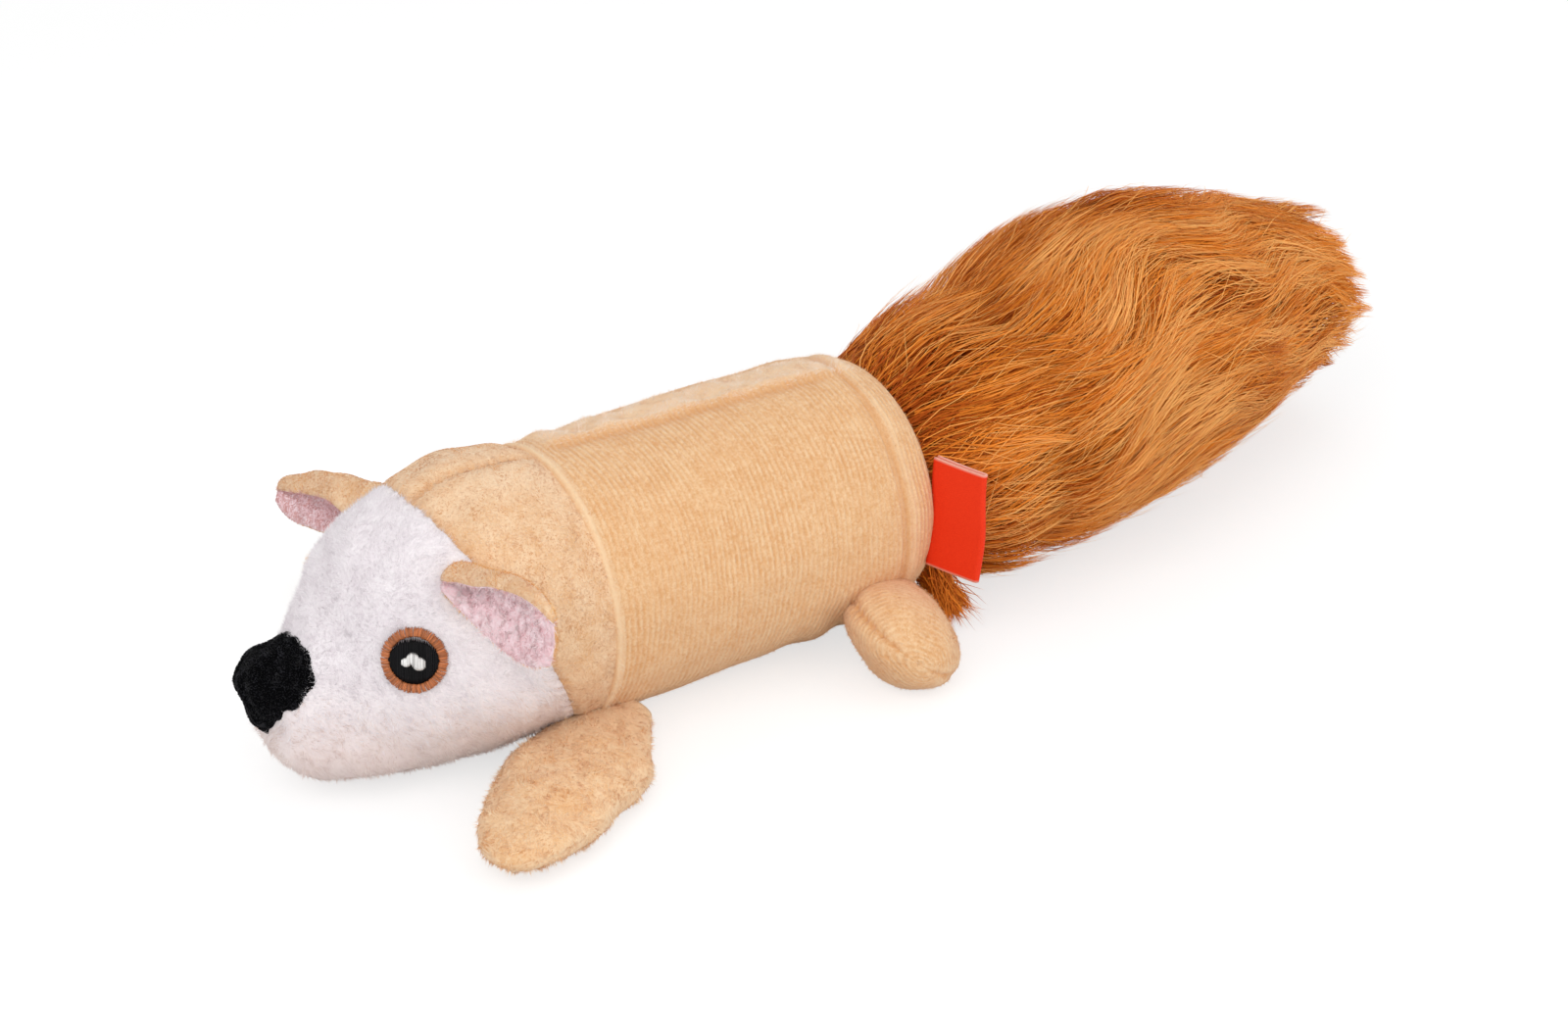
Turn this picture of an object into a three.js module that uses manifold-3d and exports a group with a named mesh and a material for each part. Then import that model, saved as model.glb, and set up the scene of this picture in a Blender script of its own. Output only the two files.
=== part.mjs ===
import * as THREE from "three";
import { mergeVertices } from "three/addons/utils/BufferGeometryUtils.js";
import Module from "manifold-3d";

const wasm = await Module();
wasm.setup();

// A stuffed plush animal lying on its belly: +Z is up, the nose points along -Y, its left side is +X.
// Lengths are in millimetres and angles in degrees. Before the last lines y is 0 at the neck seam.
const clearance = 0.3; // gap between pieces that touch
const overrun = 3; // how far a cutter reaches past what it cuts
const restCut = 0.5; // depth of the flats that the toy lies on
const fabric = 1.5; // velour pile with its knitted backing

// Body
const bodyRadius = 31;
const bodyLength = 86; // neck seam to rear seam
const creaseAt = 77; // where the stiff film ends and the cloth turns in
const creaseDepth = 0.8;
const neckRollHeight = 0.8; // raised seam ring round the neck
const neckRollLength = 3;
const rearSeamRadius = 27.8;
const rearDome = 2;
const bodySides = 36;
const axisHeight = bodyRadius - restCut;

// Crinkle film and squeaker inside the body
const film = 0.5;
const filmStart = 2;
const filmOverlap = 55;
const filmOverlapFrom = 70;
const squeakerRadius = 17;
const squeakerWall = 1.2;
const squeakerBaseHeight = 5;
const squeakerBellowsHeight = 16;
const squeakerCrownHeight = 5;
const squeakerPleats = 3;
const squeakerPleatDepth = 2.4;
const whistleRadius = 4;
const whistleLength = 8;
const whistleWall = 0.9;
const reedThickness = 0.5;
const squeakerAt = 42;

// Head
const headLength = 69;
const crownSeam = 31; // the white panel starts this far before the neck seam on top
const throatSeam = 1;
const headSides = 26;
// Along the head, half width by body radius, top and bottom by body diameter, narrowing towards the top
const headShares = [
  [0, 1, 0.998, 0, 0],
  [0.1, 1.02, 1.03, 0, 0],
  [0.24, 1.03, 1.04, 0, 0],
  [0.41, 0.99, 1.0, 0, 0.01],
  [0.56, 0.89, 0.955, 0.008, 0.04],
  [0.66, 0.78, 0.88, 0.02, 0.08],
  [0.735, 0.65, 0.76, 0.03, 0.14],
  [0.81, 0.54, 0.65, 0.045, 0.18],
  [0.88, 0.46, 0.585, 0.075, 0.18],
  [0.94, 0.36, 0.53, 0.14, 0.12],
  [0.98, 0.22, 0.46, 0.22, 0],
];

// Nose
const noseHalfWidth = 11.5;
const noseHalfHeight = 10.2;
const noseHalfDepth = 8.5;
const noseAhead = 2.5; // the nose stands this far ahead of the muzzle
const noseHeight = 26.6;
const noseTaper = 0.24;
const nosePile = 2;
const noseSides = 18;

// Embroidered eyes
const eyeRadius = 7.2;
const pupilRadius = 4.6;
const glintRadius = 1.8;
const thread = 0.8;
const eyePlace = new THREE.Vector3(0.758 * bodyRadius, -0.64 * headLength, 1.2 * bodyRadius);
const eyeFacing = new THREE.Vector3(0.8, -0.52, 0.32).normalize();

// Ears, given for the left side
const earFrontRoot = new THREE.Vector3(0.694 * bodyRadius, -0.514 * headLength, 1.565 * bodyRadius);
const earRearRoot = new THREE.Vector3(0.774 * bodyRadius, -0.355 * headLength, 1.726 * bodyRadius);
const earReach = new THREE.Vector3(36.75, -1, -4.5);
const earHalfWidth = 8.2;
const earCup = 3.2;
const earPly = 1.4;
const earPlace = 1.2; // the ear's root stands this far off the head
const earRise = new THREE.Vector3(0, 0.35, 0.94).normalize();
const earShares = [0.72, 0.9, 1, 0.98, 0.87, 0.62];
const earDroop = 20; // the right ear lies lower than the left one

// Paws, given as on the left side. The right front one lies further out to the side than the left one.
const pawSides = 12;
const frontPaw = {
  root: new THREE.Vector3(19, 6, 5),
  tip: new THREE.Vector3(57, -43, 6.8),
  halfWidth: 14.5,
  halfHeight: 7.3,
  rootShare: 0.68,
  roll: 0,
};
const frontPawRight = { ...frontPaw, tip: new THREE.Vector3(78, -13.2, 6.8) };
const rearPaw = {
  root: new THREE.Vector3(17, 80.5, 8.5),
  tip: new THREE.Vector3(50, 66, 12),
  halfWidth: 14,
  halfHeight: 10,
  rootShare: 0.55,
  roll: 38,
};
const pawLift = 15; // how far a paw lifts and droops from its sewn edge
const pawDroop = 50;
const pawHinge = new THREE.Vector3(19, 0, 5); // the sewn edge runs along Y here
const pawWidestShare = 0.58;

// Tail
const tailBallRadius = 3.5; // the gathered and knotted root
const tailLength = 152;
const tailHalfWidth = 45;
const tailHalfHeight = 37;
const tailSides = 22;
const pile = 17;
const collarRadius = 29; // the ring of fur that hangs from the rear seam
const collarInnerRadius = 14;
const collarLean = 10; // its back faces the gathered root at this angle
// Along the tail, half width, half height, rise over the body's axis by half height, drift by half width
const tailShares = [
  [0, 0.13, 0.1, 0, 0],
  [0.03, 0.28, 0.3, 0.01, 0],
  [0.07, 0.48, 0.52, 0.03, 0],
  [0.12, 0.7, 0.76, 0.06, 0],
  [0.18, 0.83, 0.88, 0.1, -0.01],
  [0.27, 0.91, 0.95, 0.15, -0.05],
  [0.39, 0.95, 1.04, 0.17, -0.13],
  [0.52, 0.9, 0.99, 0.2, -0.21],
  [0.65, 0.77, 0.87, 0.14, -0.3],
  [0.77, 0.63, 0.74, 0.09, -0.37],
  [0.87, 0.48, 0.6, 0.05, -0.41],
  [0.95, 0.31, 0.4, 0.02, -0.43],
];

// Sewn-in ribbon tag, on the left of the rear seam
const tagWidth = 25;
const tagReach = 12.5;
const ribbon = 0.5;
const tagFoldGap = 0.8;
const tagPlace = new THREE.Vector3(29.8, 88, 32.5);
const tagTurn = 13; // it hangs turned by this much in its own plane
const tagFlare = 72; // and stands off the body's side line by this much

const X = new THREE.Vector3(1, 0, 0);
const Y = new THREE.Vector3(0, 1, 0);
const Z = new THREE.Vector3(0, 0, 1);
const radians = THREE.MathUtils.degToRad;

// Geometry helpers

function solidOf(geometry) {
  const bare = geometry.index ? geometry.toNonIndexed() : geometry.clone();
  bare.deleteAttribute("normal");
  bare.deleteAttribute("uv");
  const merged = mergeVertices(bare);
  const mesh = new wasm.Mesh({
    numProp: 3,
    vertProperties: merged.attributes.position.array,
    triVerts: new Uint32Array(merged.index.array),
  });
  return new wasm.Manifold(mesh);
}

function geometryOf(solid) {
  const mesh = solid.getMesh();
  return new THREE.BufferGeometry()
    .setAttribute("position", new THREE.BufferAttribute(mesh.vertProperties, 3))
    .setIndex(new THREE.BufferAttribute(mesh.triVerts, 1));
}

// A closed form through rings of points, which run from side to lift where side x lift is the way along.
function throughRings(rings, startPoint, endPoint) {
  const count = rings[0].length;
  const points = [startPoint, ...rings.flat(), endPoint];
  const last = points.length - 1;
  const triangles = [];
  const at = (ring, i) => 1 + ring * count + (i % count);
  for (let i = 0; i < count; i++) {
    triangles.push(0, at(0, i + 1), at(0, i));
    triangles.push(last, at(rings.length - 1, i), at(rings.length - 1, i + 1));
  }
  for (let ring = 0; ring + 1 < rings.length; ring++) {
    for (let i = 0; i < count; i++) {
      triangles.push(at(ring, i), at(ring, i + 1), at(ring + 1, i));
      triangles.push(at(ring, i + 1), at(ring + 1, i + 1), at(ring + 1, i));
    }
  }
  const geometry = new THREE.BufferGeometry().setFromPoints(points);
  geometry.setIndex(triangles);
  return geometry;
}

// The same form with every point moved out along its normal.
function swollen(geometry, distance) {
  const moved = geometry.clone();
  moved.computeVertexNormals();
  const position = moved.attributes.position;
  const normal = moved.attributes.normal;
  const point = new THREE.Vector3();
  const push = new THREE.Vector3();
  for (let i = 0; i < position.count; i++) {
    push.fromBufferAttribute(normal, i);
    point.fromBufferAttribute(position, i).addScaledVector(push, distance);
    position.setXYZ(i, point.x, point.y, point.z);
  }
  return moved;
}

function ellipse(at, side, lift, half, rise, count) {
  return Array.from({ length: count }, (_, i) => {
    const angle = (i / count) * 2 * Math.PI;
    return at
      .clone()
      .addScaledVector(side, half * Math.cos(angle))
      .addScaledVector(lift, rise * Math.sin(angle));
  });
}

function box(low, high) {
  const size = new THREE.Vector3().subVectors(high, low);
  const middle = new THREE.Vector3().addVectors(low, high).multiplyScalar(1 / 2);
  return solidOf(new THREE.BoxGeometry(size.x, size.y, size.z).translate(middle.x, middle.y, middle.z));
}

// Everything beyond a plane, as a block much larger than the toy.
function beyond(point, normal) {
  const size = 4 * (bodyLength + tailLength);
  const turn = new THREE.Quaternion().setFromUnitVectors(Z, normal);
  const block = new THREE.BoxGeometry(size, size, size).translate(0, 0, size / 2).applyQuaternion(turn);
  return solidOf(block.translate(point.x, point.y, point.z));
}

// An outline in the YZ plane, as wide as the toy.
function sidePrism(outline) {
  const half = 3 * bodyRadius;
  const shape = new THREE.Shape(outline.map(([y, z]) => new THREE.Vector2(y, z)));
  const prism = new THREE.ExtrudeGeometry(shape, { depth: 2 * half, bevelEnabled: false });
  prism.translate(0, 0, -half).applyMatrix4(new THREE.Matrix4().makeBasis(Y, Z, X));
  return solidOf(prism);
}

// A closed profile of radius and distance turned about the body's axis.
function turned(profile, sides = bodySides) {
  const points = profile.map(([radius, y]) => new THREE.Vector2(radius, y));
  points.push(points[0].clone());
  return solidOf(new THREE.LatheGeometry(points, sides).translate(0, 0, axisHeight));
}

// The same about an upright axis through the squeaker.
function turnedUpright(profile, sides = 20) {
  const points = profile.map(([radius, z]) => new THREE.Vector2(radius, z));
  points.push(points[0].clone());
  const geometry = new THREE.LatheGeometry(points, sides).rotateX(Math.PI / 2);
  return solidOf(geometry.translate(0, squeakerAt, axisHeight));
}

function rotatedAbout(solid, point, axis, angle) {
  const geometry = geometryOf(solid).translate(-point.x, -point.y, -point.z);
  geometry.applyQuaternion(new THREE.Quaternion().setFromAxisAngle(axis, radians(angle)));
  return solidOf(geometry.translate(point.x, point.y, point.z));
}

function mirrored(solid) {
  const geometry = geometryOf(solid).scale(-1, 1, 1);
  const index = geometry.index.array;
  for (let i = 0; i < index.length; i += 3) [index[i], index[i + 1]] = [index[i + 1], index[i]];
  return solidOf(geometry);
}

const part = new THREE.Group();

function add(name, solid, [colour, roughness]) {
  const material = new THREE.MeshStandardMaterial({ color: colour, roughness, metalness: 0 });
  const geometry = geometryOf(solid);
  geometry.computeVertexNormals();
  const mesh = new THREE.Mesh(geometry, material);
  mesh.name = name;
  part.add(mesh);
}

function addPair(name, solid, finish) {
  add(name + "_left", solid, finish);
  add(name + "_right", mirrored(solid), finish);
}

const tanPlush = [0xe2bf8e, 0.95];
const whitePlush = [0xe9e3e6, 0.95];
const pinkPlush = [0xe9c3cb, 0.95];
const blackPlush = [0x0b0b0d, 0.95];
const fur = [0xb8702f, 0.85];
const fibrefill = [0xf2f2ee, 1];
const clearFilm = [0xd8dde0, 0.3];
const whitePlastic = [0xf0efe9, 0.45];
const copperThread = [0xa85c2a, 0.5];
const blackThread = [0x0c0c0e, 0.5];
const whiteThread = [0xf4f4f4, 0.5];
const redSatin = [0xe03a1e, 0.45];

const ground = beyond(new THREE.Vector3(), Z.clone().negate());

// Body: a velour tube, its rear panel, the rolled film and two halves of filling round the squeaker

function bodySleeve() {
  const inner = bodyRadius - fabric;
  const seamInner = rearSeamRadius - fabric;
  const creaseRadius = bodyRadius - creaseDepth;
  const bandEnd = bodyLength - fabric;
  const outside = [
    [bodyRadius, 0],
    [bodyRadius + neckRollHeight, neckRollLength / 3],
    [bodyRadius + neckRollHeight, (2 * neckRollLength) / 3],
    [bodyRadius, neckRollLength],
    [bodyRadius, creaseAt - fabric],
    [creaseRadius, creaseAt],
    [creaseRadius, creaseAt + fabric],
    [(creaseRadius + rearSeamRadius) / 2, bandEnd - fabric],
    [rearSeamRadius, bodyLength],
  ];
  const inside = [
    [seamInner, bodyLength],
    [(creaseRadius + rearSeamRadius) / 2 - fabric, bandEnd - fabric],
    [creaseRadius - fabric, creaseAt + fabric],
    [inner, creaseAt - fabric],
    [inner, 0],
  ];
  return turned([...outside, ...inside]).subtract(ground);
}

function rearPanel() {
  const front = bodyLength + clearance;
  const back = front + fabric;
  return turned([
    [0, front + rearDome],
    [rearSeamRadius / 2, front + rearDome * 0.75],
    [rearSeamRadius, front],
    [rearSeamRadius, back],
    [rearSeamRadius / 2, back + rearDome * 0.75],
    [0, back + rearDome],
  ]);
}

// A flat sheet rolled so that its free edge laps under its start.
function filmRoll() {
  const outer = bodyRadius - fabric - clearance;
  const pitch = film + clearance;
  const sweep = 360 + filmOverlap;
  const steps = 46;
  const edge = (inset) =>
    Array.from({ length: steps + 1 }, (_, i) => {
      const angle = radians(filmOverlapFrom + (sweep * i) / steps);
      const radius = outer - inset - (pitch * sweep * i) / (360 * steps);
      return new THREE.Vector2(radius * Math.cos(angle), radius * Math.sin(angle));
    });
  const outline = [...edge(0), ...edge(film).reverse()];
  const depth = creaseAt - fabric - clearance - filmStart;
  const roll = new THREE.ExtrudeGeometry(new THREE.Shape(outline), { depth, bevelEnabled: false, steps: 1 });
  roll.rotateX(-Math.PI / 2).translate(0, filmStart, axisHeight);
  return solidOf(roll);
}

const squeakerHeight = squeakerBaseHeight + squeakerBellowsHeight + squeakerCrownHeight + 2 * clearance;
const squeakerFloor = -squeakerHeight / 2;
const bellowsFloor = squeakerFloor + squeakerBaseHeight + clearance;
const crownFloor = bellowsFloor + squeakerBellowsHeight + clearance;

function squeakerBase() {
  const hole = whistleRadius + clearance;
  return turnedUpright([
    [hole, squeakerFloor],
    [squeakerRadius - squeakerWall, squeakerFloor],
    [squeakerRadius, squeakerFloor + squeakerWall],
    [squeakerRadius, bellowsFloor - clearance],
    [squeakerRadius - squeakerWall, bellowsFloor - clearance],
    [squeakerRadius - squeakerWall, squeakerFloor + 2 * squeakerWall],
    [squeakerRadius - 2 * squeakerWall, squeakerFloor + squeakerWall],
    [hole, squeakerFloor + squeakerWall],
  ]);
}

function squeakerBellows() {
  const step = squeakerBellowsHeight / (2 * squeakerPleats);
  const outside = Array.from({ length: 2 * squeakerPleats + 1 }, (_, i) => [
    squeakerRadius - (i % 2) * squeakerPleatDepth,
    bellowsFloor + i * step,
  ]);
  const inside = outside.map(([radius, z]) => [radius - squeakerWall, z]).reverse();
  return turnedUpright([...outside, ...inside]);
}

function squeakerCrown() {
  const top = crownFloor + squeakerCrownHeight;
  const shoulder = crownFloor + squeakerCrownHeight / 2;
  return turnedUpright([
    [0, top - squeakerWall],
    [squeakerRadius / 2, top - 1.2 * squeakerWall],
    [squeakerRadius - 2 * squeakerWall, shoulder],
    [squeakerRadius - squeakerWall, crownFloor],
    [squeakerRadius, crownFloor],
    [squeakerRadius - squeakerWall, shoulder + squeakerWall / 2],
    [squeakerRadius / 2, top - squeakerWall / 5],
    [0, top],
  ]);
}

// The insert that holds the reed: a short tube with a collar inside the base.
function squeakerWhistle() {
  const collar = squeakerFloor + squeakerWall + clearance;
  const bore = whistleRadius - whistleWall;
  const low = collar - whistleLength / 2;
  return turnedUpright(
    [
      [bore, low],
      [whistleRadius, low],
      [whistleRadius, collar],
      [whistleRadius + whistleWall, collar],
      [whistleRadius + whistleWall, collar + whistleWall],
      [whistleRadius, collar + whistleWall],
      [whistleRadius, low + whistleLength],
      [bore, low + whistleLength],
    ],
    12,
  );
}

// A tongue across the bore of the whistle.
function squeakerReed() {
  const half = whistleRadius - whistleWall - clearance;
  const middle = new THREE.Vector3(0, squeakerAt, axisHeight + squeakerFloor);
  const low = new THREE.Vector3(-half * 0.8, -half * 0.55, 0).add(middle);
  const high = new THREE.Vector3(half * 0.8, half * 0.55, reedThickness).add(middle);
  return box(low, high);
}

// Filling is one plug of fibre, cut in two across the squeaker's pocket.
function bodyFilling(rear) {
  const pitch = film + clearance;
  const rollInside = bodyRadius - fabric - clearance - (pitch * (360 + filmOverlap)) / 360 - film;
  const radius = rollInside - clearance;
  const parting = squeakerAt;
  const from = rear ? parting + clearance / 2 : 0;
  const to = rear ? bodyLength - clearance : parting - clearance / 2;
  const plug = turned([
    [0, from],
    [radius, from],
    [radius, Math.min(to, creaseAt)],
    [rear ? rearSeamRadius - fabric - 2 * clearance : radius, to],
    [0, to],
  ]);
  const half = squeakerHeight / 2 + clearance;
  const neck = -half - whistleLength / 2;
  const pocket = turnedUpright([
    [0, neck],
    [whistleRadius + clearance, neck],
    [whistleRadius + clearance, -half],
    [squeakerRadius + clearance, -half],
    [squeakerRadius + clearance, half],
    [0, half],
  ]);
  return plug.subtract(pocket);
}

add("body_sleeve", bodySleeve(), tanPlush);
add("rear_panel", rearPanel(), tanPlush);
add("crinkle_film_roll", filmRoll(), clearFilm);
add("body_filling_front", bodyFilling(false), fibrefill);
add("body_filling_rear", bodyFilling(true), fibrefill);
add("squeaker_base", squeakerBase(), whitePlastic);
add("squeaker_bellows", squeakerBellows(), whitePlastic);
add("squeaker_crown", squeakerCrown(), whitePlastic);
add("squeaker_whistle", squeakerWhistle(), whitePlastic);
add("squeaker_reed", squeakerReed(), whitePlastic);

// Head: a white face panel and two tan nape panels over one filling

function headForm() {
  const back = Y.clone().negate();
  const ring = ([along, half, top, bottom, narrowing]) => {
    const high = 2 * bodyRadius * top - restCut;
    const low = 2 * bodyRadius * bottom - restCut;
    const at = new THREE.Vector3(0, 0, (high + low) / 2).addScaledVector(back, along * headLength);
    const points = ellipse(at, X, Z, half * bodyRadius, (high - low) / 2, headSides);
    points.forEach((point) => {
      point.x *= 1 - (narrowing * (point.z - at.z)) / ((high - low) / 2);
    });
    return points;
  };
  const rings = headShares.map(ring);
  const neck = rings[0].map((point) => point.clone().addScaledVector(Y, overrun));
  const start = new THREE.Vector3(0, overrun, axisHeight);
  const tip = rings.at(-1).reduce((sum, point) => sum.add(point), new THREE.Vector3());
  tip.multiplyScalar(1 / headSides);
  return throughRings([neck, ...rings], start, tip.setY(-headLength));
}

function noseForm() {
  const levels = 7;
  const centre = new THREE.Vector3(0, noseHalfDepth - headLength - noseAhead, noseHeight);
  const rings = Array.from({ length: levels }, (_, k) => {
    const lean = ((k + 0.5) / levels - 0.5) * Math.PI;
    const size = Math.cos(lean) ** 0.7;
    return Array.from({ length: noseSides }, (_, i) => {
      const angle = (i / noseSides) * 2 * Math.PI;
      const x = noseHalfWidth * size * Math.cos(angle) * (1 + noseTaper * Math.sin(angle));
      const z = noseHalfHeight * size * Math.sin(angle);
      return new THREE.Vector3(x, -noseHalfDepth * Math.sin(lean), z).add(centre);
    });
  });
  const start = centre.clone().addScaledVector(Y, noseHalfDepth);
  const tip = centre.clone().addScaledVector(Y, -noseHalfDepth);
  return throughRings(rings, start, tip);
}

const head = headForm();
const headSolid = solidOf(head);
const headRoom = solidOf(swollen(head, -fabric));
const nose = noseForm();
const noseSolid = solidOf(nose);
const noseRoom = solidOf(swollen(nose, -nosePile));
const bodySide = beyond(new THREE.Vector3(0, -clearance, 0), Y);

// Everything behind the slanting seam between the face panel and the nape.
function behindSeam(shift) {
  const high = 2 * bodyRadius + overrun;
  const slope = (crownSeam - throatSeam) / (2 * bodyRadius);
  const seamAt = (z) => -throatSeam - slope * z + shift;
  return sidePrism([
    [seamAt(-overrun), -overrun],
    [bodyLength, -overrun],
    [bodyLength, high],
    [seamAt(high), high],
  ]);
}

const headSkin = headSolid.subtract(headRoom).subtract(bodySide).subtract(ground);
const noseHole = solidOf(swollen(nose, clearance));
const facePanel = headSkin.subtract(behindSeam(-clearance / 2)).subtract(noseHole);
const nape = headSkin.intersect(behindSeam(clearance / 2));
const middleGap = new THREE.Vector3(clearance / 2, 0, 0);
const headCore = solidOf(swollen(head, -fabric - clearance)).subtract(bodySide);
const noseCore = solidOf(swollen(nose, -nosePile - clearance));

add("face_panel", facePanel, whitePlush);
addPair("nape_panel", nape.intersect(beyond(middleGap, X)), tanPlush);
add("nose_panel", noseSolid.subtract(noseRoom).subtract(solidOf(swollen(head, clearance))), blackPlush);
add("head_filling", headCore.add(noseCore), fibrefill);

// Eyes: three fields of thread that follow the face

function eyeField(inner, outer) {
  const reach = eyeRadius;
  const profile = [
    [inner, -reach],
    [outer, -reach],
    [outer, reach],
    [inner, reach],
  ].map(([radius, y]) => new THREE.Vector2(radius, y));
  profile.push(profile[0].clone());
  const turn = new THREE.Quaternion().setFromUnitVectors(Y, eyeFacing);
  const field = new THREE.LatheGeometry(profile, 18).applyQuaternion(turn);
  field.translate(eyePlace.x, eyePlace.y, eyePlace.z);
  const top = solidOf(swollen(head, clearance + thread));
  const bottom = solidOf(swollen(head, clearance));
  return solidOf(field).intersect(top.subtract(bottom));
}

addPair("eye_ring", eyeField(pupilRadius + clearance, eyeRadius), copperThread);
addPair("eye_pupil", eyeField(glintRadius + clearance, pupilRadius), blackThread);
addPair("eye_glint", eyeField(0, glintRadius), whiteThread);

// Ears: a cupped leaf of two plies, tan behind and pink in front

function earPlies(low, high) {
  const middle = earFrontRoot.clone().lerp(earRearRoot, 1 / 2);
  const along = earReach.clone().normalize();
  const rootWay = earRearRoot.clone().sub(earFrontRoot).normalize();
  const steps = 8;
  const count = earShares.length;
  const start = middle.clone().addScaledVector(along, earPlace);
  const rings = earShares.map((share, k) => {
    const t = k / count;
    const across = rootWay.clone().lerp(earRise, Math.min(1, 1.8 * t)).normalize();
    const front = along.clone().cross(across).normalize();
    const centre = start.clone().addScaledVector(earReach, t);
    const point = (s, depth) =>
      centre
        .clone()
        .addScaledVector(across, earHalfWidth * share * s)
        .addScaledVector(front, earCup * share * s * s + depth);
    const ways = Array.from({ length: steps + 1 }, (_, i) => (2 * i) / steps - 1);
    return [...ways.map((s) => point(s, low)), ...ways.reverse().map((s) => point(s, high))];
  });
  const tip = start.clone().addScaledVector(earReach, (count - 0.5) / count);
  const front = along.clone().cross(earRise).normalize();
  const ends = (point) => point.clone().addScaledVector(front, (low + high) / 2);
  return solidOf(throughRings(rings, ends(start), ends(tip)));
}

const clearOfHead = solidOf(swollen(head, clearance));

function addEars(name, low, high, finish) {
  const ear = earPlies(low, high);
  const root = earFrontRoot.clone().lerp(earRearRoot, 1 / 2);
  const rootWay = earRearRoot.clone().sub(earFrontRoot).normalize();
  const lowered = rotatedAbout(ear, root, rootWay, earDroop);
  add(name + "_left", ear.subtract(clearOfHead), finish);
  add(name + "_right", mirrored(lowered).subtract(clearOfHead), finish);
}

addEars("ear_back", -earPly, 0, tanPlush);
addEars("ear_lining", 2 * clearance, 2 * clearance + earPly, pinkPlush);

// Paws: an upper and a lower panel round a filling, flat below and clear of the body when lifted

function pawForm(paw) {
  const way = paw.tip.clone().sub(paw.root);
  const forward = way.clone().normalize();
  const level = Z.clone().cross(forward).normalize();
  const side = level.applyAxisAngle(forward, radians(-paw.roll));
  const lift = forward.clone().cross(side);
  const stations = [0, 0.33, 0.66].map((t) => [
    t * pawWidestShare,
    paw.rootShare + (1 - paw.rootShare) * Math.sin((t * Math.PI) / 2),
  ]);
  for (const turn of [0, 22, 44, 62, 78]) {
    const t = pawWidestShare + (1 - pawWidestShare) * Math.sin(radians(turn));
    stations.push([t, Math.cos(radians(turn))]);
  }
  const rings = stations.map(([t, size]) => {
    const at = paw.root.clone().addScaledVector(way, t);
    return ellipse(at, side, lift, paw.halfWidth * size, paw.halfHeight * size, pawSides);
  });
  return { form: throughRings(rings, paw.root, paw.tip), lift };
}

// The body as the paw meets it, at rest, lifted and drooping.
function bodyInTheWay(gap) {
  const radius = bodyRadius + gap;
  const reach = headLength;
  const tube = turned([
    [0, -reach],
    [radius, -reach],
    [radius, -clearance],
    [radius + neckRollHeight, 0],
    [radius + neckRollHeight, neckRollLength],
    [radius, neckRollLength + clearance],
    [radius, creaseAt],
    [radius - creaseDepth, bodyLength],
    [0, bodyLength],
  ]);
  const turns = [pawLift, -pawDroop / 2, -pawDroop];
  return turns.reduce((all, turn) => all.add(rotatedAbout(tube, pawHinge, Y, turn)), tube);
}

function addPaw(name, suffix, paw, place) {
  const { form, lift } = pawForm(paw);
  const cut = (solid, wall) => {
    const floor = beyond(new THREE.Vector3(0, 0, wall), Z.clone().negate());
    return solid.subtract(floor).subtract(bodyInTheWay(clearance + wall));
  };
  const skin = cut(solidOf(form), 0).subtract(cut(solidOf(swollen(form, -fabric)), fabric));
  const core = cut(solidOf(swollen(form, -fabric - clearance)), fabric + clearance);
  const seam = (gap) => beyond(paw.root.clone().addScaledVector(lift, gap), lift);
  add(name + "_upper" + suffix, place(skin.intersect(seam(clearance / 2))), tanPlush);
  add(name + "_lower" + suffix, place(skin.subtract(seam(-clearance / 2))), tanPlush);
  add(name + "_filling" + suffix, place(core), fibrefill);
}

const asIs = (solid) => solid;
addPaw("front_paw", "_left", frontPaw, asIs);
addPaw("front_paw", "_right", frontPawRight, mirrored);
addPaw("rear_paw", "_left", rearPaw, asIs);
addPaw("rear_paw", "_right", rearPaw, mirrored);

// Tail: a gathered root and two panels of long fur round a light filling

const tailHinge = bodyLength + 2 * clearance + fabric + rearDome + tailBallRadius;
const tailStart = tailHinge + tailBallRadius + clearance;

function tailStations() {
  return tailShares.map(([along, half, rise, climb, drift]) => ({
    at: new THREE.Vector3(
      drift * tailHalfWidth,
      tailStart + along * tailLength,
      axisHeight + climb * tailHalfHeight,
    ),
    half: half * tailHalfWidth,
    rise: rise * tailHalfHeight,
  }));
}

function tailForm() {
  const stations = tailStations();
  const side = X.clone().negate();
  const rings = stations.map(({ at, half, rise }) => ellipse(at, side, Z, half, rise, tailSides));
  const tip = stations.at(-1).at.clone().setY(tailStart + tailLength);
  return throughRings(rings, stations[0].at, tip);
}

// The fur right behind the rear seam. Its back leaves room for the tail to swing.
function tailCollar() {
  const panelBack = bodyLength + clearance + fabric;
  const backAt = (radius) => tailHinge - clearance + radius * Math.tan(radians(collarLean));
  return turned([
    [collarInnerRadius, panelBack + rearDome + clearance],
    [rearSeamRadius, panelBack + 2 * clearance],
    [collarRadius, panelBack + rearDome],
    [collarRadius, backAt(collarRadius)],
    [collarInnerRadius, backAt(collarInnerRadius)],
  ]);
}

// The room that the pile leaves for the filling, in the thick of the tail only.
function tailRoomForm() {
  const stations = tailStations().filter(({ rise }) => rise > pile * 1.4);
  const side = X.clone().negate();
  const rings = stations.map(({ at, half, rise }) =>
    ellipse(at, side, Z, half - pile, rise - pile, tailSides),
  );
  const reach = pile / 3;
  const start = stations[0].at.clone().addScaledVector(Y, -reach);
  const tip = stations.at(-1).at.clone().addScaledVector(Y, reach);
  return throughRings(rings, start, tip);
}

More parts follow.
